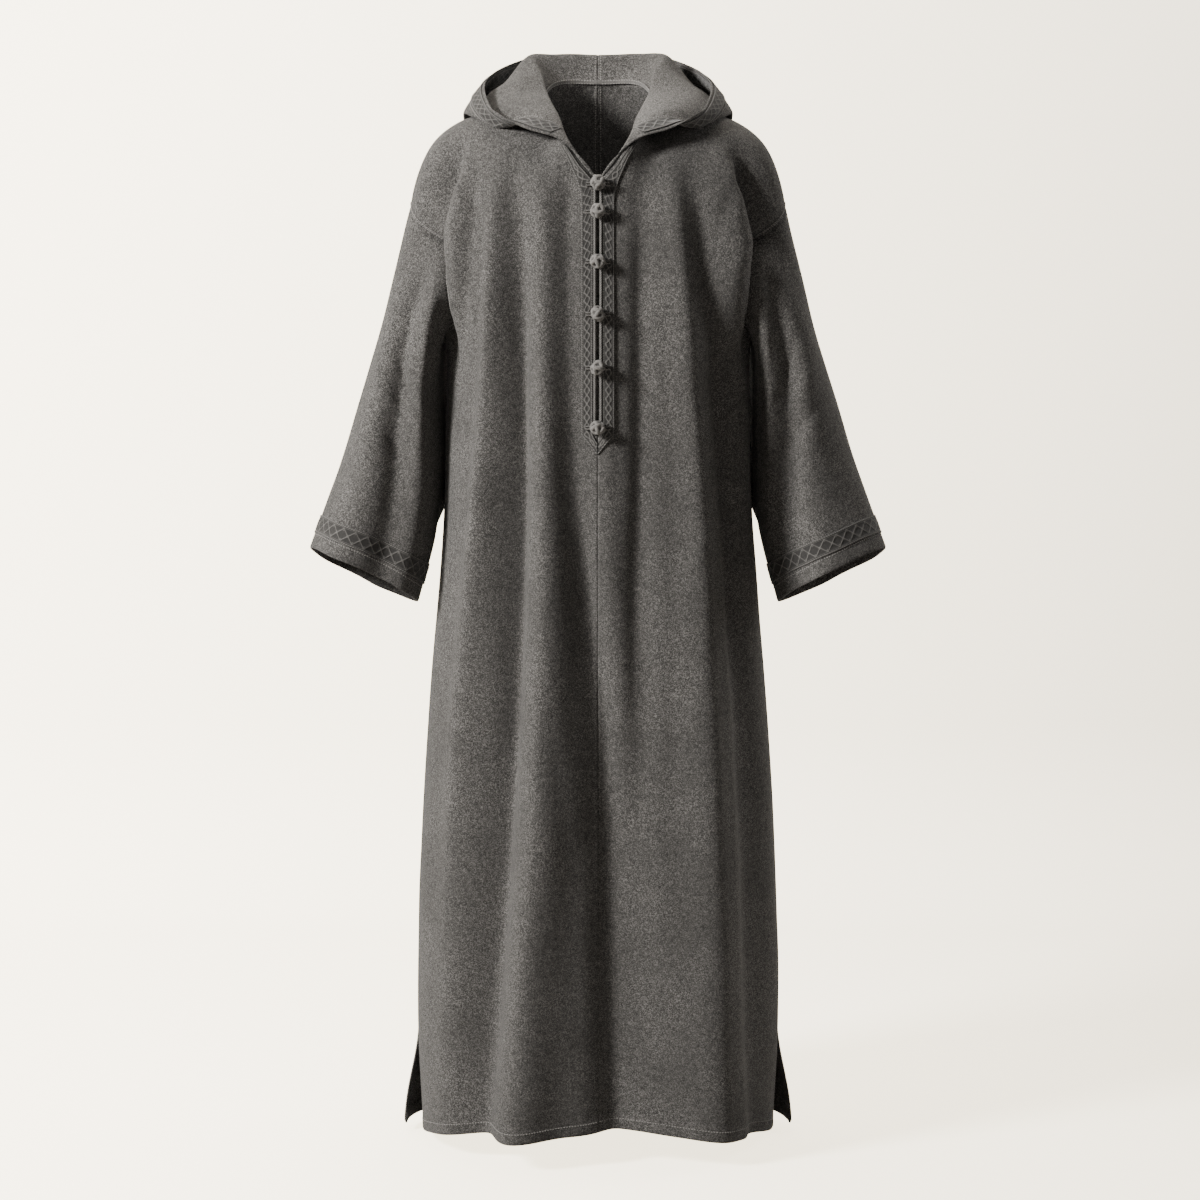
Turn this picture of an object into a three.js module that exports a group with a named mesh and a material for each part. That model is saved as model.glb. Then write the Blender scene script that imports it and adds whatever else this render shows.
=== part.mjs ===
import * as THREE from 'three';

// A hooded djellaba in wool, filled out as when it is worn, but hollow.
// Millimetres, +Z up, the front towards -Y. The origin is the middle of the neck base,
// level with the top of the shoulders. Each side is worked out as if it lay at +X, and the
// side at -X is mirrored afterwards; folds differ from side to side.

// ---- Driving sizes ----
const CLOTH = 2;
const SEAM_GAP = 0.3;
const HEM_Z = -1434;
const SLIT_TOP_Z = -1280;
const BACK_SLIT_FLARE = 25;
const FRONT_SLIT_TUCK = 3;
const PLACKET_HALF_WIDTH = 21.7;
const PLACKET_INNER_EDGE = 6.4;
const PLACKET_SHOULDER_Z = -447;
const PLACKET_POINT_Z = -474;
const CORD_OFFSET = 4.1;
const CORD_RADIUS = 1.5;
const BUTTON_RADIUS = 10;
const BUTTON_HEIGHTS = [-115, -152, -218, -287, -358, -438];
const BRAID = 1.5;
const CUFF_BAND_FROM_EDGE = 22;
const CUFF_BAND_WIDTH = 25;
const HOOD_BAND_WIDTH = 20;
const HOOD_BAND_FROM_RIM = 5;
const HOOD_BAND_STAND = 0.8;

// ---- Tables: a row for each section or fold ----
function table(columns, rows) {
  return rows.map((row) => Object.fromEntries(columns.map((name, index) => [name, row[index]])));
}

// The neckline, by the angle from the front centre: a V in front, round behind.
const NECK = table(['angle', 'radius', 'height'], [
  [0, 122, -112.5],
  [12.3, 121, -82],
  [23.5, 119, -55],
  [45, 86, -27],
  [68, 79, -9],
  [90, 78, 4],
  [135, 82, 34.5],
  [180, 75, 37],
]);

// Rings of the body from the shoulders to the hem. Each is a rounded rectangle on plan,
// with its own heights at the side, the front and the back; dip says how fast it leaves the
// side's height.
const RINGS = table(
  ['side_z', 'front_z', 'back_z', 'half_width', 'front_depth', 'back_depth', 'square', 'dip'],
  [
    [-8, -150, -10, 135, 131, 100, 2.1, 2.5],
    [-23, -190, -57, 190, 138, 118, 2.2, 2.5],
    [-60, -230, -105, 232, 142, 127, 2.3, 2.5],
    [-130, -270, -160, 256, 145, 131, 2.4, 2.5],
    [-182, -310, -222, 248, 147, 132, 2.5, 2.5],
    [-252, -366, -290, 229, 149, 133, 2.5, 2.5],
    [-330, -425, -355, 209, 150, 134, 2.45, 2.5],
    [-430, -505, -445, 209, 153, 136, 2.4, 2.5],
    [-530, -590, -540, 212, 156, 139, 2.4, 2.5],
    [-640, -680, -645, 219, 160, 144, 2.35, 2.4],
    [-800, -820, -803, 233, 166, 152, 2.3, 2.2],
    [-970, -975, -971, 245, 170, 159, 2.3, 2],
    [-1140, -1135, -1139, 252, 173, 165, 2.3, 1.8],
    [SLIT_TOP_Z, -1262, -1276, 254, 175, 169, 2.3, 1.5],
    [HEM_Z, -1400, -1426, 250, 177, 173, 2.3, 1.2],
  ],
);
const SHOULDER_TIP = 4;
const UNDERARM = 7;
const HEM = RINGS.length;

// Long folds that run down the cloth: where each lies, its depth out of the cloth (less than
// nothing for a valley) and its width, at the chest, the waist, the knee and the hem.
const FOLD_HEIGHTS = [-100, -500, -900, -1400];
const FOLD_COLUMNS = [
  'x_chest', 'x_waist', 'x_knee', 'x_hem',
  'out_chest', 'out_waist', 'out_knee', 'out_hem', 'wide_chest', 'wide_hem',
];
const FRONT_FOLDS = table(FOLD_COLUMNS, [
  [-184, -204, -215, -225, 6, 1, 0, 0, 12, 20],
  [-169, -197, -215, -225, -7, -4, 0, 0, 11, 20],
  [-132, -150, -186, -206, 7, 18, 14, 6, 14, 22],
  [-106, -112, -130, -164, -1, -25, -27, -16, 14, 26],
  [-72, -64, -70, -98, 7, 18, 27, 37, 18, 36],
  [-44, -34, 4, 30, -4, -7, -15, -20, 15, 38],
  [6, 12, 14, 20, 0, 3, 0, 0, 12, 16],
  [60, 60, 56, 70, -5, -11, -11, -12, 15, 28],
  [98, 124, 140, 150, 7, 18, 26, 34, 17, 34],
  [150, 160, 174, 186, 0, 2, 5, 8, 10, 17],
  [138, 178, 206, 226, -5, -18, -14, -6, 15, 24],
  [182, 200, 222, 230, 4, 6, 0, 0, 14, 22],
]);
const BACK_FOLDS = table(FOLD_COLUMNS, [
  [-190, -186, -196, -205, 0, -10, -12, -8, 15, 26],
  [-150, -140, -152, -158, 2, 11, 20, 28, 18, 34],
  [-104, -98, -104, -112, -4, -10, -15, -20, 16, 30],
  [-62, -54, -58, -68, 3, 9, 16, 26, 16, 32],
  [-8, -12, -6, 2, -3, -9, -15, -22, 16, 32],
  [44, 42, 56, 70, 3, 10, 18, 28, 16, 34],
  [92, 90, 104, 118, -4, -11, -15, -18, 16, 30],
  [138, 134, 148, 160, 2, 9, 17, 25, 18, 34],
  [184, 178, 192, 206, 0, -9, -11, -8, 15, 26],
]);

// The sleeve, from just below the armhole to the cuff, by its outer and inner edges. blend says
// how far a ring has left the armhole's shape for an oval, and lap how far the cloth tucks in
// behind the body.
const SLEEVE = table(
  ['outer_x', 'outer_z', 'inner_x', 'inner_z', 'mid_y', 'half_depth', 'front_lift', 'blend', 'lap'],
  [
    [266, -172, 215, -350, -2, 92, 0, 0.5, 9],
    [279, -228, 215, -380, -4, 87, 0, 0.85, 17],
    [295, -290, 215, -416, -4, 82, 0, 1, 22],
    [314, -352, 215, -456, -5, 78, 1, 1, 25],
    [333, -414, 216, -498, -7, 75, 2, 1, 28],
    [351, -474, 219, -545, -11, 72, 4, 1, 32],
    [373, -538, 229, -602, -20, 69, 8, 1, 16],
    [398, -608, 250, -681, -36, 66, 14, 1, 0],
  ],
);
const LAP_ANGLE = 233;
const LAP_WIDE = 20;
const CUFF = SLEEVE.length;

// Folds along the sleeves, by the angle round them from the outer edge over the front.
const SLEEVE_FOLD_COLUMNS = [
  'at_armhole', 'at_elbow', 'at_cuff', 'out_armhole', 'out_elbow', 'out_cuff', 'wide',
];
const LEFT_SLEEVE_FOLDS = table(SLEEVE_FOLD_COLUMNS, [
  [58, 82, 112, -6, -14, -10, 17],
  [92, 120, 146, 8, 11, 6, 15],
  [20, 52, 66, 2, 6, 9, 22],
  [232, 246, 262, -4, -8, -9, 22],
  [290, 300, 306, 3, 7, 8, 24],
]);
const RIGHT_SLEEVE_FOLDS = table(SLEEVE_FOLD_COLUMNS, [
  [66, 96, 138, -6, -14, -11, 17],
  [108, 132, 166, 8, 11, 5, 15],
  [30, 66, 98, 2, 6, 9, 24],
  [236, 252, 270, -4, -8, -8, 22],
  [286, 296, 310, 3, 7, 8, 24],
]);

// The hood thrown back, from the foot of the V to the centre back. Each row is a section from
// the neck seam over the roll, down to the fold of the bag and up again to the rim.
const HOOD = table(
  [
    'neck_angle', 'roll_x', 'roll_y', 'roll_z', 'fold_x', 'fold_y', 'fold_z',
    'rim_x', 'rim_y', 'rim_z', 'inner_bulge', 'outer_bulge',
  ],
  [
    [1.2, 2.3, -122.7, -107.6, 2.2, -123.2, -106.4, 2.1, -123.2, -105, 0, 0],
    [12.3, 24.2, -119.6, -80.2, 23.1, -120, -79.6, 21.8, -120, -78.9, 0, 0],
    [23.5, 42.5, -107.5, -50, 47, -112, -50, 55, -116, -52.5, 1, 0],
    [42, 53, -70, -21, 86, -94, -28, 97, -106, -39, 5, 0],
    [64, 66, -38, 3, 132, -67, -32, 131, -87, -19, 8, 2],
    [88, 74, 0, 21, 167, -30, -17, 147, -56, -3, 8, 4],
    [112, 84, 34, 50, 184, 27, -13, 155, 12, 34, 7, 5],
    [135, 96, 74, 76, 167, 110, -75, 128, 98, 65, 8, 9],
    [158, 61, 93, 75.5, 95, 152, -225, 73, 158, 85, 14, 14],
    [180, 0, 97, 71, 0, 152, -335, 0, 176, 74, 22, 18],
  ],
);
const HOOD_LAST = HOOD.length - 1;

// ---- Small helpers ----
const radians = (degrees) => degrees * Math.PI / 180;
const mix = (a, b, t) => a + (b - a) * t;
const point = (x, y, z) => new THREE.Vector3(x, y, z);

function ease(from, to, value) {
  const t = Math.min(Math.max((value - from) / (to - from), 0), 1);
  return t * t * (3 - 2 * t);
}

// A smooth curve through values at rising keys: cubic pieces whose slopes are those of the
// chords between neighbours. Beyond either end it keeps the end value.
function curve(keys, values, at) {
  const last = keys.length - 1;
  if (at <= keys[0]) return values[0];
  if (at >= keys[last]) return values[last];
  let i = 0;
  while (at > keys[i + 1]) i += 1;
  const span = keys[i + 1] - keys[i];
  const slope = (k) => {
    const a = Math.max(k - 1, 0);
    const b = Math.min(k + 1, last);
    return (values[b] - values[a]) / (keys[b] - keys[a]);
  };
  const t = (at - keys[i]) / span;
  const square = t * t;
  const cube = square * t;
  return values[i] * (2 * cube - 3 * square + 1) + values[i + 1] * (3 * square - 2 * cube)
    + span * (slope(i) * (cube - 2 * square + t) + slope(i + 1) * (cube - square));
}

// The same smooth curve through points, one at each whole number.
function curveThrough(pointAt, last, at) {
  const i = Math.min(Math.floor(at), last - 1);
  const t = at - i;
  const before = pointAt(Math.max(i - 1, 0));
  const start = pointAt(i);
  const end = pointAt(i + 1);
  const after = pointAt(Math.min(i + 2, last));
  const leave = end.clone().sub(before).multiplyScalar(i > 0 ? 0.5 : 1);
  const arrive = after.sub(start).multiplyScalar(i + 2 <= last ? 0.5 : 1);
  const square = t * t;
  const cube = square * t;
  return start.clone().multiplyScalar(2 * cube - 3 * square + 1)
    .addScaledVector(end, 3 * square - 2 * cube)
    .addScaledVector(leave, cube - 2 * square + t)
    .addScaledVector(arrive, cube - square);
}

// ---- The body ----
function neckPoint(angle) {
  const keys = NECK.map((row) => row.angle);
  const radius = curve(keys, NECK.map((row) => row.radius), angle);
  const height = curve(keys, NECK.map((row) => row.height), angle);
  return point(radius * Math.sin(radians(angle)), -radius * Math.cos(radians(angle)), height);
}

function ringPoint(ring, angle) {
  const sine = Math.abs(Math.sin(radians(angle)));
  const cosine = Math.abs(Math.cos(radians(angle)));
  const front = angle <= 90;
  const depth = front ? ring.front_depth : ring.back_depth;
  const low = front ? ring.front_z : ring.back_z;
  const n = ring.square;
  const radius = ((sine / ring.half_width) ** n + (cosine / depth) ** n) ** (-1 / n);
  const dip = (radius * cosine / depth) ** ring.dip;
  const y = (front ? -1 : 1) * radius * cosine;
  return point(radius * sine, y, mix(ring.side_z, low, dip));
}

function foldDepth(fold, height) {
  const keys = FOLD_HEIGHTS.map((z) => -z);
  const x = curve(keys, [fold.x_chest, fold.x_waist, fold.x_knee, fold.x_hem], -height);
  const out = curve(keys, [fold.out_chest, fold.out_waist, fold.out_knee, fold.out_hem], -height);
  const wide = mix(fold.wide_chest, fold.wide_hem, ease(-FOLD_HEIGHTS[0], -HEM_Z, -height));
  return { x, out, wide };
}

function foldPush(folds, x, height) {
  let push = 0;
  for (const fold of folds) {
    const { x: middle, out, wide } = foldDepth(fold, height);
    push += out * Math.exp(-(((x - middle) / wide) ** 2));
  }
  return push;
}

// How far round the body the cloth reaches: to the side seam, or to the armhole's edge.
const ARMHOLE_FRONT = 25;
const ARMHOLE_BACK = 17;
const ARMHOLE_ROUNDNESS = 0.8;
function reach(level, face) {
  const t = Math.min(Math.max((level - SHOULDER_TIP) / (UNDERARM - SHOULDER_TIP), 0), 1);
  const cut = Math.sin(Math.PI * t) ** ARMHOLE_ROUNDNESS;
  return 90 - (face === 'front' ? ARMHOLE_FRONT : ARMHOLE_BACK) * cut;
}

// The deep crease that runs down from the shoulder between the body and the sleeve, by the
// angle from the front or back centre and the heights between which it shows.
const CREASE = {
  front: { angle: 71, out: -30, wide: 4.5, starts: 35, full: 115, fades: 240, ends: 375 },
  back: { angle: 74, out: -12, wide: 6, starts: 50, full: 170, fades: 230, ends: 330 },
};
function sideFold({ angle, out, wide, starts, full, fades, ends }, fromCentre, height) {
  const strength = ease(starts, full, -height) * (1 - ease(fades, ends, -height));
  return out * strength * Math.exp(-(((fromCentre - angle) / wide) ** 2));
}

// Folds fade out towards the side seam, by the angle from the centre, and above the chest. The
// hem sinks where a fold stands out, and the slit's corners are drawn apart.
const SIDE_IS_PLAIN = { from: 68, to: 90 };
const SHOULDER_IS_PLAIN = { from: 150, to: 40 };
const HEM_WAVE = 0.1;
const SLIT_CORNER = { from: 52, to: 90 };
const FRONT_SLIT_DRAW = 8;
const BACK_SLIT_DRAW = 10;

// The middle of the cloth at a level, from 0 at the neck to HEM, and an angle from the front
// centre. side is 1 or -1, and says whose folds these are.
function bodyPoint(side, level, angle) {
  const row = (i) => (i === 0 ? neckPoint(angle) : ringPoint(RINGS[i - 1], angle));
  const p = curveThrough(row, HEM, level);
  const face = angle <= 90 ? 'front' : 'back';
  const fromCentre = face === 'front' ? angle : 180 - angle;
  const folds = face === 'front' ? FRONT_FOLDS : BACK_FOLDS;
  const offSide = 1 - ease(SIDE_IS_PLAIN.from, SIDE_IS_PLAIN.to, fromCentre);
  const offShoulder = 1 - ease(-SHOULDER_IS_PLAIN.from, -SHOULDER_IS_PLAIN.to, p.z);
  let push = foldPush(folds, side * p.x, p.z) * offSide * offShoulder;
  push += sideFold(CREASE[face], fromCentre, p.z);
  const belowSlitTop = ease(-SLIT_TOP_Z, -HEM_Z, -p.z);
  p.x += push * Math.sin(radians(angle));
  p.y -= push * Math.cos(radians(angle));
  p.z -= push * HEM_WAVE * belowSlitTop;
  const inSlit = belowSlitTop * ease(SLIT_CORNER.from, SLIT_CORNER.to, fromCentre);
  p.x += face === 'front' ? -FRONT_SLIT_TUCK * inSlit : BACK_SLIT_FLARE * inSlit;
  p.y += face === 'front' ? -FRONT_SLIT_DRAW * inSlit : BACK_SLIT_DRAW * inSlit;
  return p;
}

// The body's cloth at a place seen straight from the front: x and z are given, and the level
// and angle are found by halving and by correcting the angle in turn.
function frontPlace(x, z) {
  const side = x < 0 ? -1 : 1;
  let angle = 5;
  let level = 2;
  for (let round = 0; round < 12; round += 1) {
    let low = 0;
    let high = HEM;
    for (let step = 0; step < 22; step += 1) {
      level = (low + high) / 2;
      if (bodyPoint(side, level, angle).z > z) low = level;
      else high = level;
    }
    const p = bodyPoint(side, level, angle);
    angle = THREE.MathUtils.radToDeg(Math.atan2(Math.abs(x), -p.y));
  }
  return { level, angle };
}

// A point lifted off the front of the body by a distance along the cloth's normal.
function onFront(x, z, lift) {
  const side = x < 0 ? -1 : 1;
  const { level, angle } = frontPlace(x, z);
  const p = bodyPoint(side, level, angle);
  const round = bodyPoint(side, level, angle + 0.5).sub(p);
  const down = bodyPoint(side, level + 0.01, angle).sub(p);
  const normal = down.cross(round).normalize();
  if (angle < 0.5) normal.setX(0).normalize();
  p.addScaledVector(normal, lift);
  p.x = side * p.x;
  return p;
}

// ---- Walls of cloth from a grid of middle points ----
function gridNormals(grid, closed) {
  const rows = grid.length;
  const columns = grid[0].length;
  return grid.map((row, i) => row.map((_, j) => {
    const above = grid[Math.max(i - 1, 0)][j];
    const below = grid[Math.min(i + 1, rows - 1)][j];
    const before = closed ? row[(j + columns - 1) % columns] : row[Math.max(j - 1, 0)];
    const after = closed ? row[(j + 1) % columns] : row[Math.min(j + 1, columns - 1)];
    const down = below.clone().sub(above);
    const along = after.clone().sub(before);
    return down.cross(along).normalize();
  }));
}

// A wall of the given thickness about a grid, lifted off it by a distance along its normals.
// The grid's rows go down and its columns go round so that down x round points out of the cloth.
// A closed grid joins its last column to its first.
function wall(grid, normals, thickness, { closed = false, lift = 0 } = {}) {
  const rows = grid.length;
  const columns = grid[0].length;
  const positions = [];
  const triangles = [];
  for (const face of [1, -1]) {
    const out = lift + face * thickness / 2;
    grid.forEach((row, i) => row.forEach((p, j) => {
      const q = p.clone().addScaledVector(normals[i][j], out);
      positions.push(q.x, q.y, q.z);
    }));
  }
  const at = (layer, i, j) => (layer * rows + i) * columns + (j % columns);
  const quad = (a, b, c, d) => triangles.push(a, b, c, a, c, d);
  const spans = closed ? columns : columns - 1;
  for (let i = 0; i < rows - 1; i += 1) {
    for (let j = 0; j < spans; j += 1) {
      quad(at(0, i, j), at(0, i + 1, j), at(0, i + 1, j + 1), at(0, i, j + 1));
      quad(at(1, i, j), at(1, i, j + 1), at(1, i + 1, j + 1), at(1, i + 1, j));
    }
  }
  for (let j = 0; j < spans; j += 1) {
    quad(at(0, 0, j), at(0, 0, j + 1), at(1, 0, j + 1), at(1, 0, j));
    const end = rows - 1;
    quad(at(0, end, j), at(1, end, j), at(1, end, j + 1), at(0, end, j + 1));
  }
  if (!closed) {
    for (let i = 0; i < rows - 1; i += 1) {
      quad(at(0, i, 0), at(1, i, 0), at(1, i + 1, 0), at(0, i + 1, 0));
      const end = columns - 1;
      quad(at(0, i, end), at(0, i + 1, end), at(1, i + 1, end), at(1, i, end));
    }
  }
  return { positions, triangles };
}

// The solid as a geometry, mirrored to -X for the other side.
function geometry({ positions, triangles }, side) {
  const placed = positions.slice();
  const faces = triangles.slice();
  if (side < 0) {
    for (let i = 0; i < placed.length; i += 3) placed[i] = -placed[i];
    for (let i = 0; i < faces.length; i += 3) {
      const second = faces[i + 1];
      faces[i + 1] = faces[i + 2];
      faces[i + 2] = second;
    }
  }
  const made = new THREE.BufferGeometry();
  made.setAttribute('position', new THREE.Float32BufferAttribute(placed, 3));
  made.setIndex(faces);
  made.computeVertexNormals();
  return made;
}

// ---- Panels of the body ----
const ROWS_ABOVE_TIP = 7;
const ROWS_IN_ARMHOLE = 8;
const ROWS_BELOW = 13;
const PANEL_COLUMNS = { front: 13, back: 11 };
const EDGE_GATHER = 4;

function panelLevels() {
  const levels = [];
  for (let i = 0; i < ROWS_ABOVE_TIP; i += 1) levels.push(SHOULDER_TIP * i / ROWS_ABOVE_TIP);
  for (let i = 0; i < ROWS_IN_ARMHOLE; i += 1) {
    levels.push(mix(SHOULDER_TIP, UNDERARM, i / ROWS_IN_ARMHOLE));
  }
  for (let i = 0; i <= ROWS_BELOW; i += 1) levels.push(mix(UNDERARM, HEM, i / ROWS_BELOW));
  return levels;
}

function bodyPanel(side, face) {
  const columns = PANEL_COLUMNS[face];
  const levels = panelLevels();
  const front = face === 'front';
  const onSeam = (level) => level <= SHOULDER_TIP || level >= UNDERARM;
  const grid = levels.map((level) => {
    const row = [];
    for (let j = 0; j <= columns; j += 1) {
      const share = j / columns;
      const fromCentre = 90 * share - (90 - reach(level, face)) * share ** EDGE_GATHER;
      const p = bodyPoint(side, level, front ? fromCentre : 180 - fromCentre);
      if (front && j === columns) p.y -= (onSeam(level) ? SEAM_GAP / 2 : 0);
      if (!front && j === columns) p.y += (onSeam(level) ? SEAM_GAP / 2 : 0);
      if (j === 0) p.x = SEAM_GAP / 2;
      row.push(p);
    }
    return front ? row : row.reverse();
  });
  const centre = front ? 0 : columns;
  const edge = front ? columns : 0;
  const normals = gridNormals(grid, false);
  normals.forEach((row, i) => {
    row[centre].setX(0).normalize();
    if (onSeam(levels[i])) row[edge].setY(0).normalize();
  });
  return geometry(wall(grid, normals, CLOTH), side);
}

// ---- Sleeves ----
// The armhole's edge by the angle round the sleeve: 0 at the shoulder tip, 90 at the front,
// 180 under the arm, 270 at the back. The sleeve starts a seam's gap beyond the panels' edge.
const SLEEVE_START = 1.3;
const CREASE_GAP = 2.3;
const UNDERARM_STEP = { from: 0.45, out: 3.4 };
const NEAR_SHOULDER = 0.1;
const NEAR_UNDERARM = 0.88;
const STEP_ALONG_EDGE = 4;
const STEP_INTO_PANEL = 3;
function armholeEdge(side, turn) {
  const face = turn <= 180 ? 'front' : 'back';
  const t = (turn <= 180 ? turn : 360 - turn) / 180;
  const level = mix(SHOULDER_TIP, UNDERARM, t);
  const from = reach(level, face);
  return bodyPoint(side, level, face === 'front' ? from : 180 - from);
}

// Where the sleeve begins: off the edge along the cloth, square to the edge itself.
function armholeStart(side, turn) {
  const wrapped = (turn + 360) % 360;
  const p = armholeEdge(side, wrapped);
  const t = (wrapped <= 180 ? wrapped : 360 - wrapped) / 180;
  const level = mix(SHOULDER_TIP, UNDERARM, t);
  const face = wrapped <= 180 ? 'front' : 'back';
  const inside = reach(level, face) - STEP_INTO_PANEL;
  const innerAngle = face === 'front' ? inside : 180 - inside;
  const along = armholeEdge(side, Math.min(wrapped + STEP_ALONG_EDGE, 360))
    .sub(armholeEdge(side, Math.max(wrapped - STEP_ALONG_EDGE, 0))).normalize();
  const away = p.clone().sub(bodyPoint(side, level, innerAngle));
  away.addScaledVector(along, -away.dot(along)).normalize();
  const shoulder = p.clone().sub(bodyPoint(side, level - 0.1, 90)).normalize();
  away.lerp(shoulder, 1 - ease(0, NEAR_SHOULDER, t));
  away.lerp(point(0, 0, 1), ease(NEAR_UNDERARM, 1, t)).normalize();
  p.addScaledVector(away, SLEEVE_START + CREASE_GAP * Math.sin(Math.PI * t) ** 0.5);
  p.x += UNDERARM_STEP.out * ease(UNDERARM_STEP.from, 1, t);
  return p;
}

function sleeveOval(row, turn) {
  const along = Math.cos(radians(turn));
  const across = Math.sin(radians(turn));
  const x = mix(row.inner_x, row.outer_x, (1 + along) / 2);
  const z = mix(row.inner_z, row.outer_z, (1 + along) / 2) + row.front_lift * across;
  const lap = row.lap * Math.exp(-(((turn - LAP_ANGLE) / LAP_WIDE) ** 2));
  return point(x - lap, row.mid_y - row.half_depth * across, z);
}

function sleeveFoldPush(folds, turn, along) {
  let push = 0;
  for (const fold of folds) {
    const at = curve([0, 0.5, 1], [fold.at_armhole, fold.at_elbow, fold.at_cuff], along);
    const out = curve([0, 0.5, 1], [fold.out_armhole, fold.out_elbow, fold.out_cuff], along);
    push += out * Math.exp(-(((turn - at) / fold.wide) ** 2));
  }
  return push * ease(0, 0.25, along);
}

function sleevePoint(side, level, turn) {
  const start = armholeStart(side, turn);
  const row = (i) => {
    if (i === 0) return start.clone();
    const oval = sleeveOval(SLEEVE[i - 1], turn);
    return start.clone().lerp(oval, SLEEVE[i - 1].blend);
  };
  const p = curveThrough(row, CUFF, level);
  const folds = side < 0 ? LEFT_SLEEVE_FOLDS : RIGHT_SLEEVE_FOLDS;
  const push = sleeveFoldPush(folds, (turn + 360) % 360, level / CUFF);
  p.y -= push * Math.sin(radians(turn));
  p.x += push * Math.cos(radians(turn)) * ease(-0.6, 0, Math.cos(radians(turn)));
  return p;
}

// The sleeve has a column for each row of the panels' armhole edges, so the two edges match.
const SLEEVE_RINGS = 11;
const SLEEVE_COLUMNS = 2 * ROWS_IN_ARMHOLE;

// The levels of the cuff band's upper and lower edge.
function cuffBandLevels() {
  const lastStep = point(SLEEVE[CUFF - 1].outer_x, 0, SLEEVE[CUFF - 1].outer_z)
    .distanceTo(point(SLEEVE[CUFF - 2].outer_x, 0, SLEEVE[CUFF - 2].outer_z));
  const low = CUFF - CUFF_BAND_FROM_EDGE / lastStep;
  return [low - CUFF_BAND_WIDTH / lastStep, low];
}

function sleeveGrid(side) {
  const band = cuffBandLevels();
  const levels = [];
  for (let i = 0; i < SLEEVE_RINGS; i += 1) levels.push(band[0] * i / SLEEVE_RINGS);
  return [...levels, ...band, CUFF].map((level) => {
    const row = [];
    for (let j = 0; j < SLEEVE_COLUMNS; j += 1) {
      row.push(sleevePoint(side, level, 360 * (SLEEVE_COLUMNS - j) / SLEEVE_COLUMNS));
    }
    return row;
  });
}

function sleeve(side) {
  const grid = sleeveGrid(side);
  return geometry(wall(grid, gridNormals(grid, true), CLOTH, { closed: true }), side);
}

function cuffBraid(side) {
  const grid = sleeveGrid(side);
  const normals = gridNormals(grid, true);
  const band = [SLEEVE_RINGS, SLEEVE_RINGS + 2];
  const lift = CLOTH / 2 + SEAM_GAP + BRAID / 2;
  const shape = wall(grid.slice(...band), normals.slice(...band), BRAID, { closed: true, lift });
  return geometry(shape, side);
}

// ---- The hood ----
// A section's control points: neck seam, roll, half way down inside, the bag's fold, half way
// up outside, and rim. The two half ways are pushed out from the neck by the bulges.
const SEAM_STEP_ALONG_V = { in: 1.3, up: 1.3 };
const SEAM_STEP_ROUND_NECK = 2.8;
const V_ENDS = { from: 24, to: 45 };
function hoodSection(index) {
  const ghost = index > HOOD_LAST;
  const row = HOOD[ghost ? 2 * HOOD_LAST - index : index];
  const seam = neckPoint(row.neck_angle);
  const alongV = 1 - ease(V_ENDS.from, V_ENDS.to, row.neck_angle);
  const up = mix(SEAM_STEP_ROUND_NECK, SEAM_STEP_ALONG_V.up, alongV);
  const neck = seam.add(point(-SEAM_STEP_ALONG_V.in * alongV, 0, up));
  const roll = point(row.roll_x, row.roll_y, row.roll_z);
  const fold = point(row.fold_x, row.fold_y, row.fold_z);
  const rim = point(row.rim_x, row.rim_y, row.rim_z);
  const outwards = point(fold.x, fold.y, 0).normalize();
  const inner = roll.clone().lerp(fold, 0.5).addScaledVector(outwards, row.inner_bulge);
  inner.z += row.inner_bulge;
  const outer = fold.clone().lerp(rim, 0.5).addScaledVector(outwards, row.outer_bulge);
  const points = [neck, roll, inner, fold, outer, rim];
  if (ghost) points.forEach((p) => p.setX(-p.x));
  return points;
}

// along: 0 at the foot of the V to HOOD_LAST at the centre back. over: 0 at the neck seam,
// 1 at the roll, 3 at the bag's fold and 5 at the rim.
function hoodPoint(along, over) {
  const sectionPoint = (i) => curveThrough((k) => hoodSection(i)[k].clone(), 5, over);
  const i = Math.min(Math.floor(along), HOOD_LAST - 1);
  const window = [Math.max(i - 1, 0), i, i + 1, i + 2].map(sectionPoint);
  const t = along - i;
  const leave = window[2].clone().sub(window[0]).multiplyScalar(i > 0 ? 0.5 : 1);
  const arrive = window[3].clone().sub(window[1]).multiplyScalar(0.5);
  const square = t * t;
  const cube = square * t;
  return window[1].clone().multiplyScalar(2 * cube - 3 * square + 1)
    .addScaledVector(window[2], 3 * square - 2 * cube)
    .addScaledVector(leave, cube - 2 * square + t)
    .addScaledVector(arrive, cube - square);
}

// The section's parameter at a distance from the rim, for the band that runs along it. Where the
// section is too short for the band's whole width, near the foot of the V, the band narrows.
const HOOD_BAND_REACH = HOOD_BAND_FROM_RIM + HOOD_BAND_WIDTH;
function overAtRimDistance(along, distance) {
  const step = 0.1;
  const lengths = [0];
  let last = hoodPoint(along, 5);
  for (let over = 5 - step; over > 1.2; over -= step) {
    const next = hoodPoint(along, over);
    lengths.push(lengths[lengths.length - 1] + next.distanceTo(last));
    last = next;
  }
  const total = lengths[lengths.length - 1];
  const wanted = distance * Math.min(1, 0.9 * total / HOOD_BAND_REACH);
  const index = lengths.findIndex((length) => length >= wanted);
  if (index <= 0) return 5;
  const inside = (wanted - lengths[index - 1]) / (lengths[index] - lengths[index - 1]);
  return 5 - step * (index - 1 + inside);
}

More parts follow.
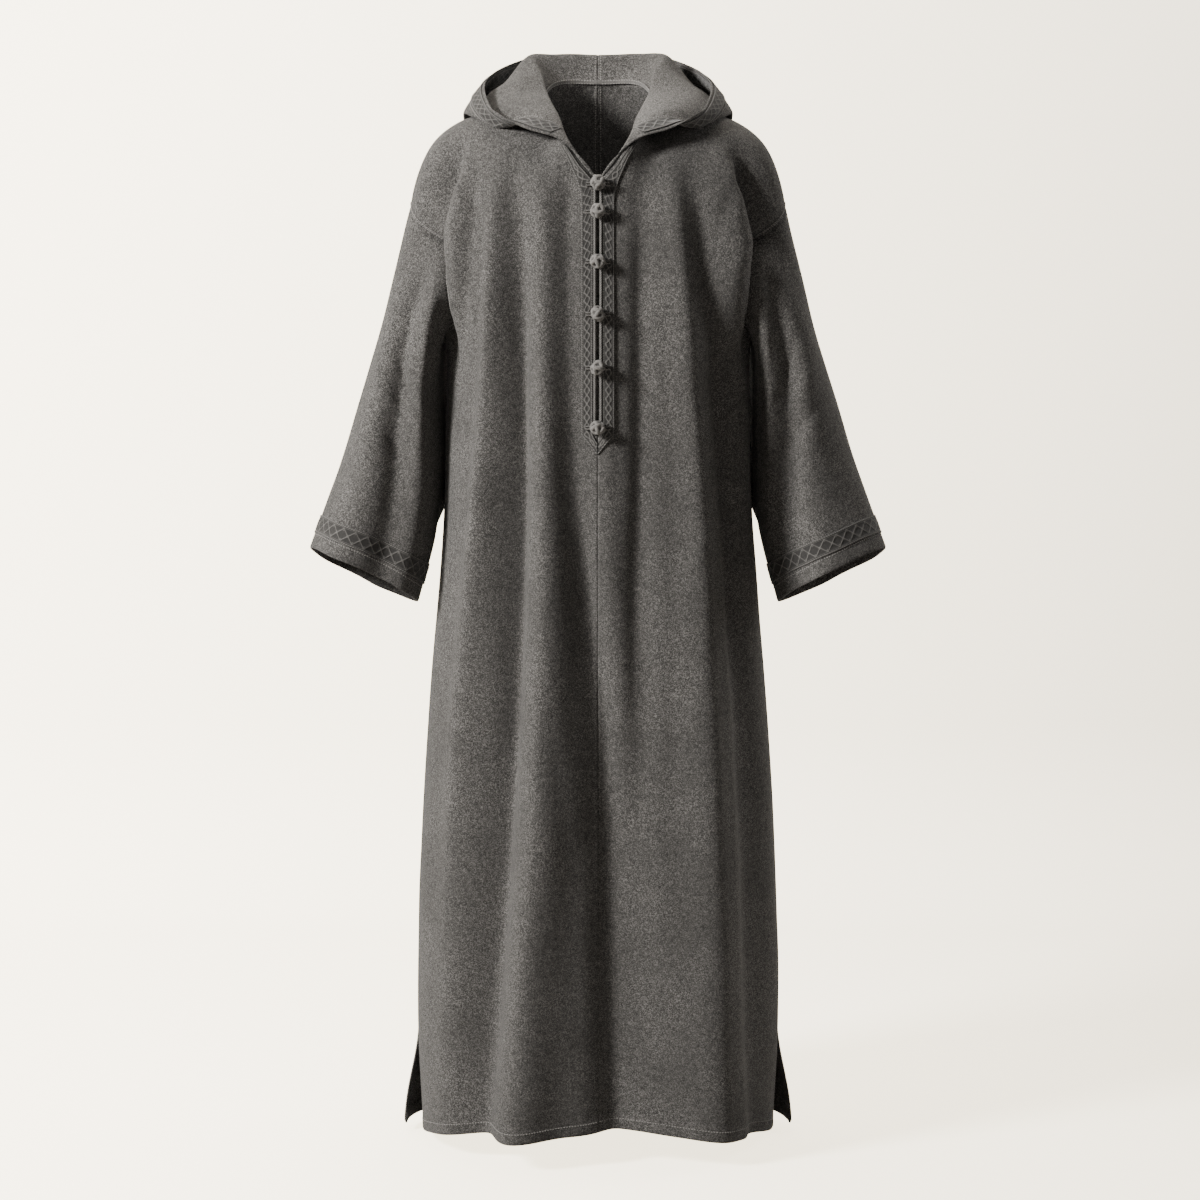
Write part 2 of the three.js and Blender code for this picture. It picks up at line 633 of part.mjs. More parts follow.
// Rows of the hood's grid: from the neck seam to the band, closer over the roll, then the
// band's rows.
const HOOD_STEPS_AROUND = 20;
const HOOD_SHARES_TO_BAND = [0, 0.09, 0.17, 0.26, 0.39, 0.52, 0.65, 0.78, 0.9];
const HOOD_STEPS_TO_BAND = HOOD_SHARES_TO_BAND.length;
const HOOD_BAND_FIRST_COLUMN = 5;
function hoodGrid() {
  const columns = [];
  for (let j = 0; j <= HOOD_STEPS_AROUND; j += 1) {
    const along = HOOD_LAST * j / HOOD_STEPS_AROUND;
    const bandTop = overAtRimDistance(along, HOOD_BAND_REACH);
    const overs = HOOD_SHARES_TO_BAND.map((share) => bandTop * share);
    const distances = [HOOD_BAND_REACH, HOOD_BAND_REACH - HOOD_BAND_WIDTH / 2, HOOD_BAND_FROM_RIM];
    overs.push(...distances.map((distance) => overAtRimDistance(along, distance)), 5);
    columns.push(overs.map((over) => hoodPoint(along, over)));
  }
  columns[HOOD_STEPS_AROUND].forEach((p) => p.setX(SEAM_GAP / 2));
  return columns[0].map((_, k) => columns.map((column) => column[k]));
}

function hoodNormals(grid) {
  const normals = gridNormals(grid, false);
  normals.forEach((row) => row[row.length - 1].setX(0).normalize());
  return normals;
}

function hoodHalf(side) {
  const grid = hoodGrid();
  return geometry(wall(grid, hoodNormals(grid), CLOTH), side);
}

// A band along the rim, on the hood's lining side or its outer side.
function rimBraid(side, onInside) {
  const grid = hoodGrid();
  const cut = (rows) => rows.slice(HOOD_STEPS_TO_BAND, HOOD_STEPS_TO_BAND + 3)
    .map((row) => row.slice(HOOD_BAND_FIRST_COLUMN));
  const lift = (CLOTH / 2 + HOOD_BAND_STAND + BRAID / 2) * (onInside ? 1 : -1);
  return geometry(wall(cut(grid), cut(hoodNormals(grid)), BRAID, { lift }), side);
}

// ---- Placket ----
// The braid's inner and outer edge, from the point at its foot to where it narrows away along
// the V. Between the second and third row it runs straight beside the slit.
const PLACKET = table(['inner_x', 'inner_z', 'outer_x', 'outer_z'], [
  [0.6, PLACKET_POINT_Z + 16, 0.6, PLACKET_POINT_Z],
  [PLACKET_INNER_EDGE, PLACKET_SHOULDER_Z, PLACKET_HALF_WIDTH, PLACKET_SHOULDER_Z],
  [PLACKET_INNER_EDGE, -124, PLACKET_HALF_WIDTH, -138],
  [PLACKET_INNER_EDGE + 0.6, -110, 22.6, -127],
  [15, -100, 28, -109],
  [23, -91, 34.5, -94],
  [31, -79.5, 41, -78],
  [38.5, -69, 48, -62.5],
]);
const PLACKET_STRAIGHT_STEPS = 12;
function placketEdges() {
  const rows = [PLACKET[0]];
  for (let i = 0; i < PLACKET_STRAIGHT_STEPS; i += 1) {
    const share = i / PLACKET_STRAIGHT_STEPS;
    const between = (name) => mix(PLACKET[1][name], PLACKET[2][name], share);
    rows.push({
      inner_x: between('inner_x'),
      inner_z: between('inner_z'),
      outer_x: between('outer_x'),
      outer_z: between('outer_z'),
    });
  }
  return [...rows, ...PLACKET.slice(2)];
}

const PLACKET_STAND = 1.3;
function placketBraid(side) {
  const lift = CLOTH / 2 + PLACKET_STAND + BRAID / 2;
  const grid = placketEdges().reverse().map((edge) => [0, 0.5, 1].map((share) => {
    const x = mix(edge.inner_x, edge.outer_x, share);
    const z = mix(edge.inner_z, edge.outer_z, share);
    const p = onFront(side * x, z, lift);
    p.x = Math.abs(p.x);
    return p;
  }));
  return geometry(wall(grid, gridNormals(grid, false), BRAID), side);
}

// A round cord beside the slit: a ring of points about each step of its path.
function placketCord(side) {
  const steps = 16;
  const sides = 6;
  const lift = CLOTH / 2 + PLACKET_STAND + CORD_RADIUS;
  const top = BUTTON_HEIGHTS[0] - 4;
  const rings = [];
  for (let i = 0; i <= steps; i += 1) {
    const centre = onFront(side * CORD_OFFSET, mix(top, PLACKET_SHOULDER_Z, i / steps), lift);
    const ring = [];
    for (let k = 0; k < sides; k += 1) {
      const turn = 2 * Math.PI * k / sides;
      const x = CORD_OFFSET + CORD_RADIUS * Math.cos(turn);
      ring.push(point(x, centre.y + CORD_RADIUS * Math.sin(turn), centre.z));
    }
    rings.push(ring);
  }
  const positions = rings.flat().flatMap((p) => [p.x, p.y, p.z]);
  const triangles = [];
  for (let i = 0; i < steps; i += 1) {
    for (let k = 0; k < sides; k += 1) {
      const a = i * sides + k;
      const b = i * sides + (k + 1) % sides;
      triangles.push(a, a + sides, b + sides, a, b + sides, b);
    }
  }
  const end = steps * sides;
  for (let k = 1; k < sides - 1; k += 1) {
    triangles.push(0, k, k + 1);
    triangles.push(end, end + k + 1, end + k);
  }
  return geometry({ positions, triangles }, side);
}

// ---- Buttons ----
// A ball knotted of cord: a squat sphere whose skin swells over four strands that cross it.
const BUTTON_SEAT = 4.6;
const BUTTON_FLATTENED = 0.8;
const STRAND_COUNT = 3;
const STRAND_DEPTH = 0.07;
function button(height) {
  const ball = new THREE.SphereGeometry(BUTTON_RADIUS, 14, 9);
  const place = ball.attributes.position;
  const lift = CLOTH / 2 + BUTTON_SEAT + BUTTON_RADIUS * BUTTON_FLATTENED;
  const seat = onFront(0, height, lift);
  for (let i = 0; i < place.count; i += 1) {
    const p = point(place.getX(i), place.getY(i), place.getZ(i)).divideScalar(BUTTON_RADIUS);
    const strands = Math.cos(STRAND_COUNT * (p.x + p.z)) * Math.cos(STRAND_COUNT * (p.x - p.z));
    p.multiplyScalar(BUTTON_RADIUS * (1 - STRAND_DEPTH + STRAND_DEPTH * strands));
    p.y *= BUTTON_FLATTENED;
    place.setXYZ(i, p.x + seat.x, p.y + seat.y, p.z + seat.z);
  }
  return ball;
}

// ---- The whole garment ----
const WOOL = new THREE.MeshStandardMaterial({ color: 0x4b4845, roughness: 0.95, metalness: 0 });
const TRIM = new THREE.MeshStandardMaterial({ color: 0x504d49, roughness: 0.85, metalness: 0 });
const KNOT = new THREE.MeshStandardMaterial({ color: 0x56524e, roughness: 0.8, metalness: 0 });

const djellaba = new THREE.Group();
function add(name, shape, material) {
  const mesh = new THREE.Mesh(shape, material);
  mesh.name = name;
  djellaba.add(mesh);
}

for (const [word, side] of [['left', -1], ['right', 1]]) {
  add(`front_${word}`, bodyPanel(side, 'front'), WOOL);
  add(`back_${word}`, bodyPanel(side, 'back'), WOOL);
  add(`sleeve_${word}`, sleeve(side), WOOL);
  add(`hood_${word}`, hoodHalf(side), WOOL);
  add(`placket_braid_${word}`, placketBraid(side), TRIM);
  add(`placket_cord_${word}`, placketCord(side), TRIM);
  add(`hood_braid_in_${word}`, rimBraid(side, true), TRIM);
  add(`hood_braid_out_${word}`, rimBraid(side, false), TRIM);
  add(`cuff_braid_${word}`, cuffBraid(side), TRIM);
}
BUTTON_HEIGHTS.forEach((height, index) => add(`button_${index + 1}`, button(height), KNOT));

export default djellaba;
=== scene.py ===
"""A hooded djellaba in charcoal wool, filled out as when it is worn, but hollow.

Lengths are millimetres in the formulas and become metres when a mesh is made. +Z is up and the
front faces -Y. Each side is worked out as if it lay at +X, and the side at -X is mirrored at
the end; folds differ from side to side.
"""

import math

import bpy
import numpy as np
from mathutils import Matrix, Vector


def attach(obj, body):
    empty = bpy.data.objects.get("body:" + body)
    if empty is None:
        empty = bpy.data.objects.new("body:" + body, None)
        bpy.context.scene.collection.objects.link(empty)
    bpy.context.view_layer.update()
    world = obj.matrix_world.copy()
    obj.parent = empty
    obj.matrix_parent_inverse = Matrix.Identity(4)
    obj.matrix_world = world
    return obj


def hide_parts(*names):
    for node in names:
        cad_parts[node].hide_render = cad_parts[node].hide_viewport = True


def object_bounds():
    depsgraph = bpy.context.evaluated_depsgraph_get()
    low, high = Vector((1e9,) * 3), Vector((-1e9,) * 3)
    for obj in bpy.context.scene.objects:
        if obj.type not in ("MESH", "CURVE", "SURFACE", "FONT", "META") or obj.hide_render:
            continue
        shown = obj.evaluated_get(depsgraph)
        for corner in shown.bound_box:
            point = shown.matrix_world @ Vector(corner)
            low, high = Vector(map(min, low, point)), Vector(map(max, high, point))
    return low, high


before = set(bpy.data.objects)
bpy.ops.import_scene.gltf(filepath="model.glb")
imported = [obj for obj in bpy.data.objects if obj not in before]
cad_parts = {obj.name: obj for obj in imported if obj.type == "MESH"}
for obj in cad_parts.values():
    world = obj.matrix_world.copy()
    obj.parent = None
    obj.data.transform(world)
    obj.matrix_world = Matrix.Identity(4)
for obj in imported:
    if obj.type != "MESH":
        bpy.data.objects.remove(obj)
cad_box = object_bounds()

# ---- Sizes, in millimetres ----
MM = 0.001
CLOTH = 2.0
# How far the two halves reach past each other at a seam, so that no light shows between them.
SEAM_OVERLAP = 0.02
HEM_Z = -1434.0
SLIT_TOP_Z = -1280.0
BACK_SLIT_FLARE = 25.0
FRONT_SLIT_TUCK = 3.0
FRONT_SLIT_DRAW = 8.0
BACK_SLIT_DRAW = 10.0
HEM_WAVE = 0.1
PLACKET_HALF_WIDTH = 21.7
PLACKET_INNER_EDGE = 6.4
PLACKET_SHOULDER_Z = -447.0
PLACKET_POINT_Z = -474.0
PLACKET_STAND = 1.3
CORD_OFFSET = 4.1
CORD_LIFT = 1.5
CORD_RADIUS = 1.8
TIE_RADIUS = 1.2
LOOP_RADIUS = 1.3
BUTTON_RADIUS = 10.0
BUTTON_SEAT = 4.6
KNOT_STRAND = 2.9
BUTTON_HEIGHTS = (-115.0, -152.0, -218.0, -287.0, -358.0, -438.0)
BRAID_THICK = 1.5
CUFF_BAND_FROM_EDGE = 22.0
CUFF_BAND_WIDTH = 25.0
CUFF_BAND_STAND = 0.3
HOOD_BAND_WIDTH = 20.0
HOOD_BAND_FROM_RIM = 5.0
HOOD_BAND_STAND = 0.8
SIDES = (("left", -1), ("right", 1))


# ---- Tables: a row for each section or fold ----
def table(columns, rows):
    """Named columns of numbers as arrays, one entry for each row."""
    values = np.array(rows, float)
    return {name: values[:, index] for index, name in enumerate(columns.split())}


# The neckline, by the angle from the front centre: a V in front, round behind.
NECK = table(
    "angle radius height",
    [
        (0, 122, -112.5),
        (12.3, 121, -82),
        (23.5, 119, -55),
        (45, 86, -27),
        (68, 79, -9),
        (90, 78, 4),
        (135, 82, 34.5),
        (180, 75, 37),
    ],
)

# Rings of the body from the shoulders to the hem. Each is a rounded rectangle on plan, with its
# own heights at the side, the front and the back; dip says how fast it leaves the side's height.
RINGS = table(
    "side_z front_z back_z half_width front_depth back_depth square dip",
    [
        (-8, -150, -10, 135, 131, 100, 2.1, 2.5),
        (-23, -190, -57, 190, 138, 118, 2.2, 2.5),
        (-60, -230, -105, 232, 142, 127, 2.3, 2.5),
        (-130, -270, -160, 256, 145, 131, 2.4, 2.5),
        (-182, -310, -222, 248, 147, 132, 2.5, 2.5),
        (-252, -366, -290, 229, 149, 133, 2.5, 2.5),
        (-330, -425, -355, 209, 150, 134, 2.45, 2.5),
        (-430, -505, -445, 209, 153, 136, 2.4, 2.5),
        (-530, -590, -540, 212, 156, 139, 2.4, 2.5),
        (-640, -680, -645, 219, 160, 144, 2.35, 2.4),
        (-800, -820, -803, 233, 166, 152, 2.3, 2.2),
        (-970, -975, -971, 245, 170, 159, 2.3, 2),
        (-1140, -1135, -1139, 252, 173, 165, 2.3, 1.8),
        (SLIT_TOP_Z, -1262, -1276, 254, 175, 169, 2.3, 1.5),
        (HEM_Z, -1400, -1426, 250, 177, 173, 2.3, 1.2),
    ],
)
SHOULDER_TIP = 4
UNDERARM = 7
HEM = 15

# Long folds that run down the cloth: where each lies, its depth out of the cloth (less than
# nothing for a valley) and its width, at the chest, the waist, the knee and the hem.
FOLD_HEIGHTS = (-100, -500, -900, -1400)
FOLD_COLUMNS = (
    "x_chest x_waist x_knee x_hem out_chest out_waist out_knee out_hem wide_chest wide_hem"
)
FRONT_FOLDS = table(
    FOLD_COLUMNS,
    [
        (-184, -204, -215, -225, 6, 1, 0, 0, 12, 20),
        (-169, -197, -215, -225, -7, -4, 0, 0, 11, 20),
        (-132, -150, -186, -206, 7, 18, 14, 6, 14, 22),
        (-106, -112, -130, -164, -1, -25, -27, -16, 14, 26),
        (-72, -64, -70, -98, 7, 18, 27, 37, 18, 36),
        (-44, -34, 10, 28, -4, -7, -23, -30, 15, 36),
        (6, 12, 14, 20, 0, 3, 0, 0, 12, 16),
        (60, 60, 56, 70, -5, -11, -11, -12, 15, 28),
        (98, 124, 140, 150, 7, 18, 26, 34, 17, 34),
        (150, 160, 174, 186, 0, 2, 5, 8, 10, 17),
        (138, 178, 206, 226, -5, -18, -14, -6, 15, 24),
        (182, 200, 222, 230, 4, 6, 0, 0, 14, 22),
    ],
)
BACK_FOLDS = table(
    FOLD_COLUMNS,
    [
        (-190, -186, -196, -205, 0, -10, -12, -8, 15, 26),
        (-150, -140, -152, -158, 2, 11, 20, 28, 18, 34),
        (-104, -98, -104, -112, -4, -10, -15, -20, 16, 30),
        (-62, -54, -58, -68, 3, 9, 16, 26, 16, 32),
        (-8, -12, -6, 2, -3, -9, -15, -22, 16, 32),
        (44, 42, 56, 70, 3, 10, 18, 28, 16, 34),
        (92, 90, 104, 118, -4, -11, -15, -18, 16, 30),
        (138, 134, 148, 160, 2, 9, 17, 25, 18, 34),
        (184, 178, 192, 206, 0, -9, -11, -8, 15, 26),
    ],
)

# The sleeve, from just below the armhole to the cuff, by its outer and inner edges. blend says
# how far a ring has left the armhole's shape for an oval, and lap how far the cloth tucks in
# behind the body.
SLEEVE = table(
    "outer_x outer_z inner_x inner_z mid_y half_depth front_lift blend lap",
    [
        (266, -172, 215, -350, -2, 92, 0, 0.5, 9),
        (279, -228, 215, -380, -4, 87, 0, 0.85, 17),
        (295, -290, 215, -416, -4, 82, 0, 1, 22),
        (314, -352, 215, -456, -5, 78, 1, 1, 25),
        (333, -414, 216, -498, -7, 75, 2, 1, 28),
        (351, -474, 219, -545, -11, 72, 4, 1, 32),
        (373, -538, 229, -602, -20, 69, 8, 1, 16),
        (398, -608, 250, -681, -36, 66, 14, 1, 0),
    ],
)
LAP_ANGLE = 233
LAP_WIDE = 20
CUFF = 8

# Folds along the sleeves, by the angle round them from the outer edge over the front.
SLEEVE_FOLD_COLUMNS = "at_armhole at_elbow at_cuff out_armhole out_elbow out_cuff wide"
SLEEVE_FOLDS = {
    -1: table(
        SLEEVE_FOLD_COLUMNS,
        [
            (58, 82, 112, -6, -14, -10, 17),
            (92, 120, 146, 8, 11, 6, 15),
            (20, 52, 66, 2, 6, 9, 22),
            (232, 246, 262, -4, -8, -9, 22),
            (290, 300, 306, 3, 7, 8, 24),
        ],
    ),
    1: table(
        SLEEVE_FOLD_COLUMNS,
        [
            (66, 96, 138, -6, -14, -11, 17),
            (108, 132, 166, 8, 11, 5, 15),
            (30, 66, 98, 2, 6, 9, 24),
            (236, 252, 270, -4, -8, -8, 22),
            (286, 296, 310, 3, 7, 8, 24),
        ],
    ),
}

# The hood thrown back, from the foot of the V to the centre back. Each row is a section from
# the neck seam over the roll, down to the fold of the bag and up again to the rim.
HOOD = table(
    "neck_angle roll_x roll_y roll_z fold_x fold_y fold_z rim_x rim_y rim_z inner_bulge outer_bulge",
    [
        (1.2, 2.3, -122.7, -107.6, 2.2, -123.2, -106.4, 2.1, -123.2, -105, 0, 0),
        (12.3, 24.2, -119.6, -80.2, 23.1, -120, -79.6, 21.8, -120, -78.9, 0, 0),
        (23.5, 42.5, -107.5, -50, 47, -112, -50, 55, -116, -52.5, 1, 0),
        (42, 53, -70, -21, 86, -94, -28, 97, -106, -39, 5, 0),
        (64, 66, -38, 3, 132, -67, -32, 131, -87, -19, 8, 2),
        (88, 74, 0, 21, 167, -30, -17, 147, -56, -3, 8, 4),
        (112, 84, 34, 50, 184, 27, -13, 155, 12, 34, 7, 5),
        (135, 96, 74, 76, 167, 110, -75, 128, 98, 65, 8, 9),
        (158, 61, 93, 75.5, 95, 152, -225, 73, 158, 85, 14, 14),
        (180, 0, 97, 71, 0, 152, -335, 0, 176, 74, 22, 18),
    ],
)
HOOD_LAST = 9


# ---- Small helpers ----
def ease(start, end, value):
    """0 before start, 1 after end, and the cubic 3t^2 - 2t^3 between."""
    t = np.clip((value - start) / (end - start), 0.0, 1.0)
    return t * t * (3 - 2 * t)


def bump(distance, width):
    """A bell: 1 in the middle, falling as exp(-(distance / width)^2)."""
    return np.exp(-((distance / width) ** 2))


def cubic(start, end, leave, arrive, t):
    """A cubic over t from 0 to 1 with a given slope at either end: start (2t^3 - 3t^2 + 1) +
    end (3t^2 - 2t^3) + leave (t^3 - 2t^2 + t) + arrive (t^3 - t^2)."""
    square = t * t
    cube = square * t
    lines = start * (2 * cube - 3 * square + 1) + end * (3 * square - 2 * cube)
    return lines + leave * (cube - 2 * square + t) + arrive * (cube - square)


def curve(keys, values, at):
    """Cubic pieces through values at rising keys, whose slopes are those of the chords between
    neighbours. Beyond either end it keeps the end value."""
    keys = np.asarray(keys, float)
    values = np.asarray(values, float)
    at = np.clip(at, keys[0], keys[-1])
    i = np.clip(np.searchsorted(keys, at, side="right") - 1, 0, len(keys) - 2)
    order = np.arange(len(keys))
    before = np.maximum(order - 1, 0)
    after = np.minimum(order + 1, len(keys) - 1)
    slopes = (values[after] - values[before]) / (keys[after] - keys[before])
    span = keys[i + 1] - keys[i]
    t = (at - keys[i]) / span
    return cubic(values[i], values[i + 1], slopes[i] * span, slopes[i + 1] * span, t)


def through(point_at, last, at):
    """The same smooth curve through points, one at each whole number up to last."""
    i = np.clip(np.floor(at).astype(int), 0, last - 1)
    t = (at - i)[..., None]
    start = point_at(i)
    end = point_at(i + 1)
    leave = (end - point_at(np.maximum(i - 1, 0))) * np.where(i > 0, 0.5, 1.0)[..., None]
    arrive = point_at(np.minimum(i + 2, last)) - start
    arrive = arrive * np.where(i + 2 <= last, 0.5, 1.0)[..., None]
    return cubic(start, end, leave, arrive, t)


def unit(vectors):
    """Each vector over its own length."""
    return vectors / np.maximum(np.linalg.norm(vectors, axis=-1, keepdims=True), 1e-9)


def mirrored(points, side):
    """Points worked out at +X as they lie on their own side: x times side, which is -1 or 1."""
    return points * np.array([side, 1, 1.0])


def lengths_along(points, axis=0):
    """The running length along an axis of a grid of points, from 0."""
    steps = np.linalg.norm(np.diff(points, axis=axis), axis=-1)
    zero = np.zeros_like(np.take(steps, [0], axis=axis))
    return np.concatenate([zero, np.cumsum(steps, axis=axis)], axis=axis)


def fine_near(count, start=(), end=()):
    """Shares from 0 to 1 in even steps, with extra ones near either end."""
    inner = np.linspace(0, 1, count + 1)
    low = max(start, default=0.0)
    high = 1 - max(end, default=0.0)
    kept = inner[(inner > low) & (inner < high)]
    first = np.array([0.0, *start])
    last = np.array(sorted([1.0, *(1 - value for value in end)]))
    return np.concatenate([first, kept, last])


# ---- The camera ----
def make_camera():
    """The camera stands level with the chest, in metres, and looks a little down: its tilt and
    its angle of view are those of the triangle from it to the point it looks at."""
    data = bpy.data.cameras.new("camera")
    camera = bpy.data.objects.new("camera", data)
    bpy.context.scene.collection.objects.link(camera)
    away = 3.8
    height = -0.33
    aim = -0.683
    across = 0.0028
    half_view = 0.84
    camera.location = (across, -away, height)
    camera.rotation_euler = (math.pi / 2 - math.atan2(height - aim, away), 0, 0)
    data.sensor_fit = "HORIZONTAL"
    data.angle = 2 * math.atan(half_view / math.hypot(away, height - aim))
    bpy.context.scene.camera = camera


make_camera()


# ---- The body ----
def neck_points(angle):
    """The neckline: radius and height are smooth curves over the angle."""
    radius = curve(NECK["angle"], NECK["radius"], angle)
    height = curve(NECK["angle"], NECK["height"], angle)
    turn = np.radians(angle)
    return np.stack([radius * np.sin(turn), -radius * np.cos(turn), height], -1)


def ring_points(index, angle):
    """Ring 0 is the neckline. The others are |x/w|^n + |y/d|^n = 1, dipping towards the middle."""
    sine = np.abs(np.sin(np.radians(angle)))
    cosine = np.abs(np.cos(np.radians(angle)))
    row = np.maximum(index - 1, 0)
    front = angle <= 90
    depth = np.where(front, RINGS["front_depth"][row], RINGS["back_depth"][row])
    low = np.where(front, RINGS["front_z"][row], RINGS["back_z"][row])
    high = RINGS["side_z"][row]
    n = RINGS["square"][row]
    radius = ((sine / RINGS["half_width"][row]) ** n + (cosine / depth) ** n) ** (-1 / n)
    z = high + (low - high) * (radius * cosine / depth) ** RINGS["dip"][row]
    y = np.where(front, -1.0, 1.0) * radius * cosine
    ring = np.stack([radius * sine, y, z], -1)
    return np.where((index == 0)[..., None], neck_points(angle), ring)


def fold_push(folds, x, z):
    """The sum of all folds at a place: each is a bell across, whose middle, depth and width
    change with the height."""
    keys = [-height for height in FOLD_HEIGHTS]
    down = ease(-FOLD_HEIGHTS[0], -HEM_Z, -z)
    push = np.zeros_like(z)
    for k in range(len(folds["x_chest"])):
        row = {name: values[k] for name, values in folds.items()}
        places = [row["x_chest"], row["x_waist"], row["x_knee"], row["x_hem"]]
        depths = [row["out_chest"], row["out_waist"], row["out_knee"], row["out_hem"]]
        wide = row["wide_chest"] + (row["wide_hem"] - row["wide_chest"]) * down
        push += curve(keys, depths, -z) * bump(x - curve(keys, places, -z), wide)
    return push


# How many degrees the armhole cuts into the front and the back.
ARMHOLE_CUT = {"front": 25, "back": 17}


def reach(level, face):
    """How far round the body the cloth goes: 90 degrees at the side seam, and beside the armhole
    90 - cut sin(pi t)^0.8, where t is the share of the way down it."""
    t = np.clip((level - SHOULDER_TIP) / (UNDERARM - SHOULDER_TIP), 0.0, 1.0)
    return 90 - ARMHOLE_CUT[face] * np.sin(np.pi * t) ** 0.8


def side_fold(fold, from_centre, z):
    """The deep crease from the shoulder between body and sleeve, by angle and height."""
    angle, out, wide, starts, full, fades, ends = fold
    strength = ease(starts, full, -z) * (1 - ease(fades, ends, -z))
    return out * strength * bump(from_centre - angle, wide)


# The crease in the front and in the back: its angle, depth and width, and how far below the
# shoulders it starts, is full, fades and ends.
CREASE = {
    "front": (71, -30, 4.5, 35, 115, 240, 375),
    "back": (74, -12, 6, 50, 170, 230, 330),
}


# The folds die out towards the side seams and the shoulders, and the slits draw the cloth only
# near the sides.
NO_FOLD_ANGLES = (68, 90)
NO_FOLD_HEIGHTS = (-150, -40)
SLIT_ANGLES = (52, 90)


def body_points(side, level, angle):
    """The middle of the cloth at a level, from 0 at the neck to HEM, and an angle from the front
    centre: a smooth curve through the rings, pushed out by the folds."""
    level, angle = np.broadcast_arrays(np.asarray(level, float), np.asarray(angle, float))
    p = through(lambda i: ring_points(i, angle), HEM, level)
    x, y, z = p[..., 0], p[..., 1], p[..., 2]
    front = angle <= 90
    from_centre = np.where(front, angle, 180 - angle)
    push = np.where(
        front, fold_push(FRONT_FOLDS, side * x, z), fold_push(BACK_FOLDS, side * x, z)
    )
    push = push * (1 - ease(*NO_FOLD_ANGLES, from_centre)) * (1 - ease(*NO_FOLD_HEIGHTS, z))
    push += np.where(
        front,
        side_fold(CREASE["front"], from_centre, z),
        side_fold(CREASE["back"], from_centre, z),
    )
    below_slit = ease(-SLIT_TOP_Z, -HEM_Z, -z)
    turn = np.radians(angle)
    x = x + push * np.sin(turn)
    y = y - push * np.cos(turn)
    z = z - push * HEM_WAVE * below_slit
    in_slit = below_slit * ease(*SLIT_ANGLES, from_centre)
    x = x + np.where(front, -FRONT_SLIT_TUCK, BACK_SLIT_FLARE) * in_slit
    y = y + np.where(front, -FRONT_SLIT_DRAW, BACK_SLIT_DRAW) * in_slit
    return np.stack([x, y, z], -1)


def front_place(x, z):
    """The level and angle of places given by x and z, by halving and by correcting the angle."""
    x, z = np.broadcast_arrays(np.asarray(x, float), np.asarray(z, float))
    side = -1 if x.mean() < 0 else 1
    angle = np.full(x.shape, 5.0)
    level = np.full(x.shape, 2.0)
    for _ in range(7):
        low = np.zeros(x.shape)
        high = np.full(x.shape, float(HEM))
        for _ in range(18):
            level = (low + high) / 2
            above = body_points(side, level, angle)[..., 2] > z
            low = np.where(above, level, low)
            high = np.where(above, high, level)
        p = body_points(side, level, angle)
        angle = np.degrees(np.arctan2(np.abs(x), -p[..., 1]))
    return side, level, angle


def on_front(x, z, lift):
    """Points of the body's front at x and z, lifted along the cloth's normal."""
    side, level, angle = front_place(x, z)
    p = body_points(side, level, angle)
    round_ = body_points(side, level, angle + 0.5) - p
    down = body_points(side, level + 0.01, angle) - p
    normal = unit(np.cross(down, round_))
    normal[..., 0] = np.where(angle < 0.5, 0.0, normal[..., 0])
    p = p + unit(normal) * lift
    p[..., 0] *= side
    return p


# ---- Sleeves ----
# How far the sleeve starts from the panels' edge, how much further half way down, where the deep
# crease is, and how far it steps out under the arm.
SLEEVE_START = 1.3
CREASE_GAP = 2.3
UNDERARM_STEP = 3.4


def armhole_place(turn):
    """The panels' edge by the angle round the sleeve, which is 0 at the shoulder tip, 90 at the
    front, 180 under the arm and 270 at the back: whether it is the front's edge, the share of
    the way down it, and its level and angle on the body."""
    front = turn <= 180
    t = np.where(front, turn, 360 - turn) / 180
    level = SHOULDER_TIP + (UNDERARM - SHOULDER_TIP) * t
    angle = np.where(front, reach(level, "front"), 180 - reach(level, "back"))
    return front, t, level, angle


def armhole_edge(side, turn):
    """The points of the panels' edge by the angle round the sleeve."""
    _, _, level, angle = armhole_place(turn)
    return body_points(side, level, angle)


def armhole_start(side, turn):
    """Where the sleeve begins: off the edge along the cloth, square to the edge itself."""
    front, t, level, angle = armhole_place(turn)
    p = body_points(side, level, angle)
    inside = np.where(front, angle - 3, angle + 3)
    ahead = armhole_edge(side, np.minimum(turn + 4, 360))
    along = unit(ahead - armhole_edge(side, np.maximum(turn - 4, 0)))
    away = p - body_points(side, level, inside)
    away = unit(away - along * np.sum(away * along, -1, keepdims=True))
    shoulder = unit(p - body_points(side, level - 0.1, np.full(level.shape, 90.0)))
    top = (1 - ease(0, 0.1, t))[..., None]
    under = ease(0.88, 1, t)[..., None]
    away = away + (shoulder - away) * top
    away = unit(away + (np.array([0, 0, 1.0]) - away) * under)
    gap = SLEEVE_START + CREASE_GAP * np.maximum(np.sin(np.pi * t), 0) ** 0.5
    p = p + away * gap[..., None]
    p[..., 0] += UNDERARM_STEP * ease(0.45, 1, t)
    return p


def sleeve_oval(row, turn):
    """A ring of the sleeve: an ellipse between its outer and its inner edge."""
    along = np.cos(np.radians(turn))
    across = np.sin(np.radians(turn))
    share = (1 + along) / 2
    x = SLEEVE["inner_x"][row] + (SLEEVE["outer_x"][row] - SLEEVE["inner_x"][row]) * share
    z = SLEEVE["inner_z"][row] + (SLEEVE["outer_z"][row] - SLEEVE["inner_z"][row]) * share
    z = z + SLEEVE["front_lift"][row] * across
    x = x - SLEEVE["lap"][row] * bump(turn - LAP_ANGLE, LAP_WIDE)
    return np.stack([x, SLEEVE["mid_y"][row] - SLEEVE["half_depth"][row] * across, z], -1)


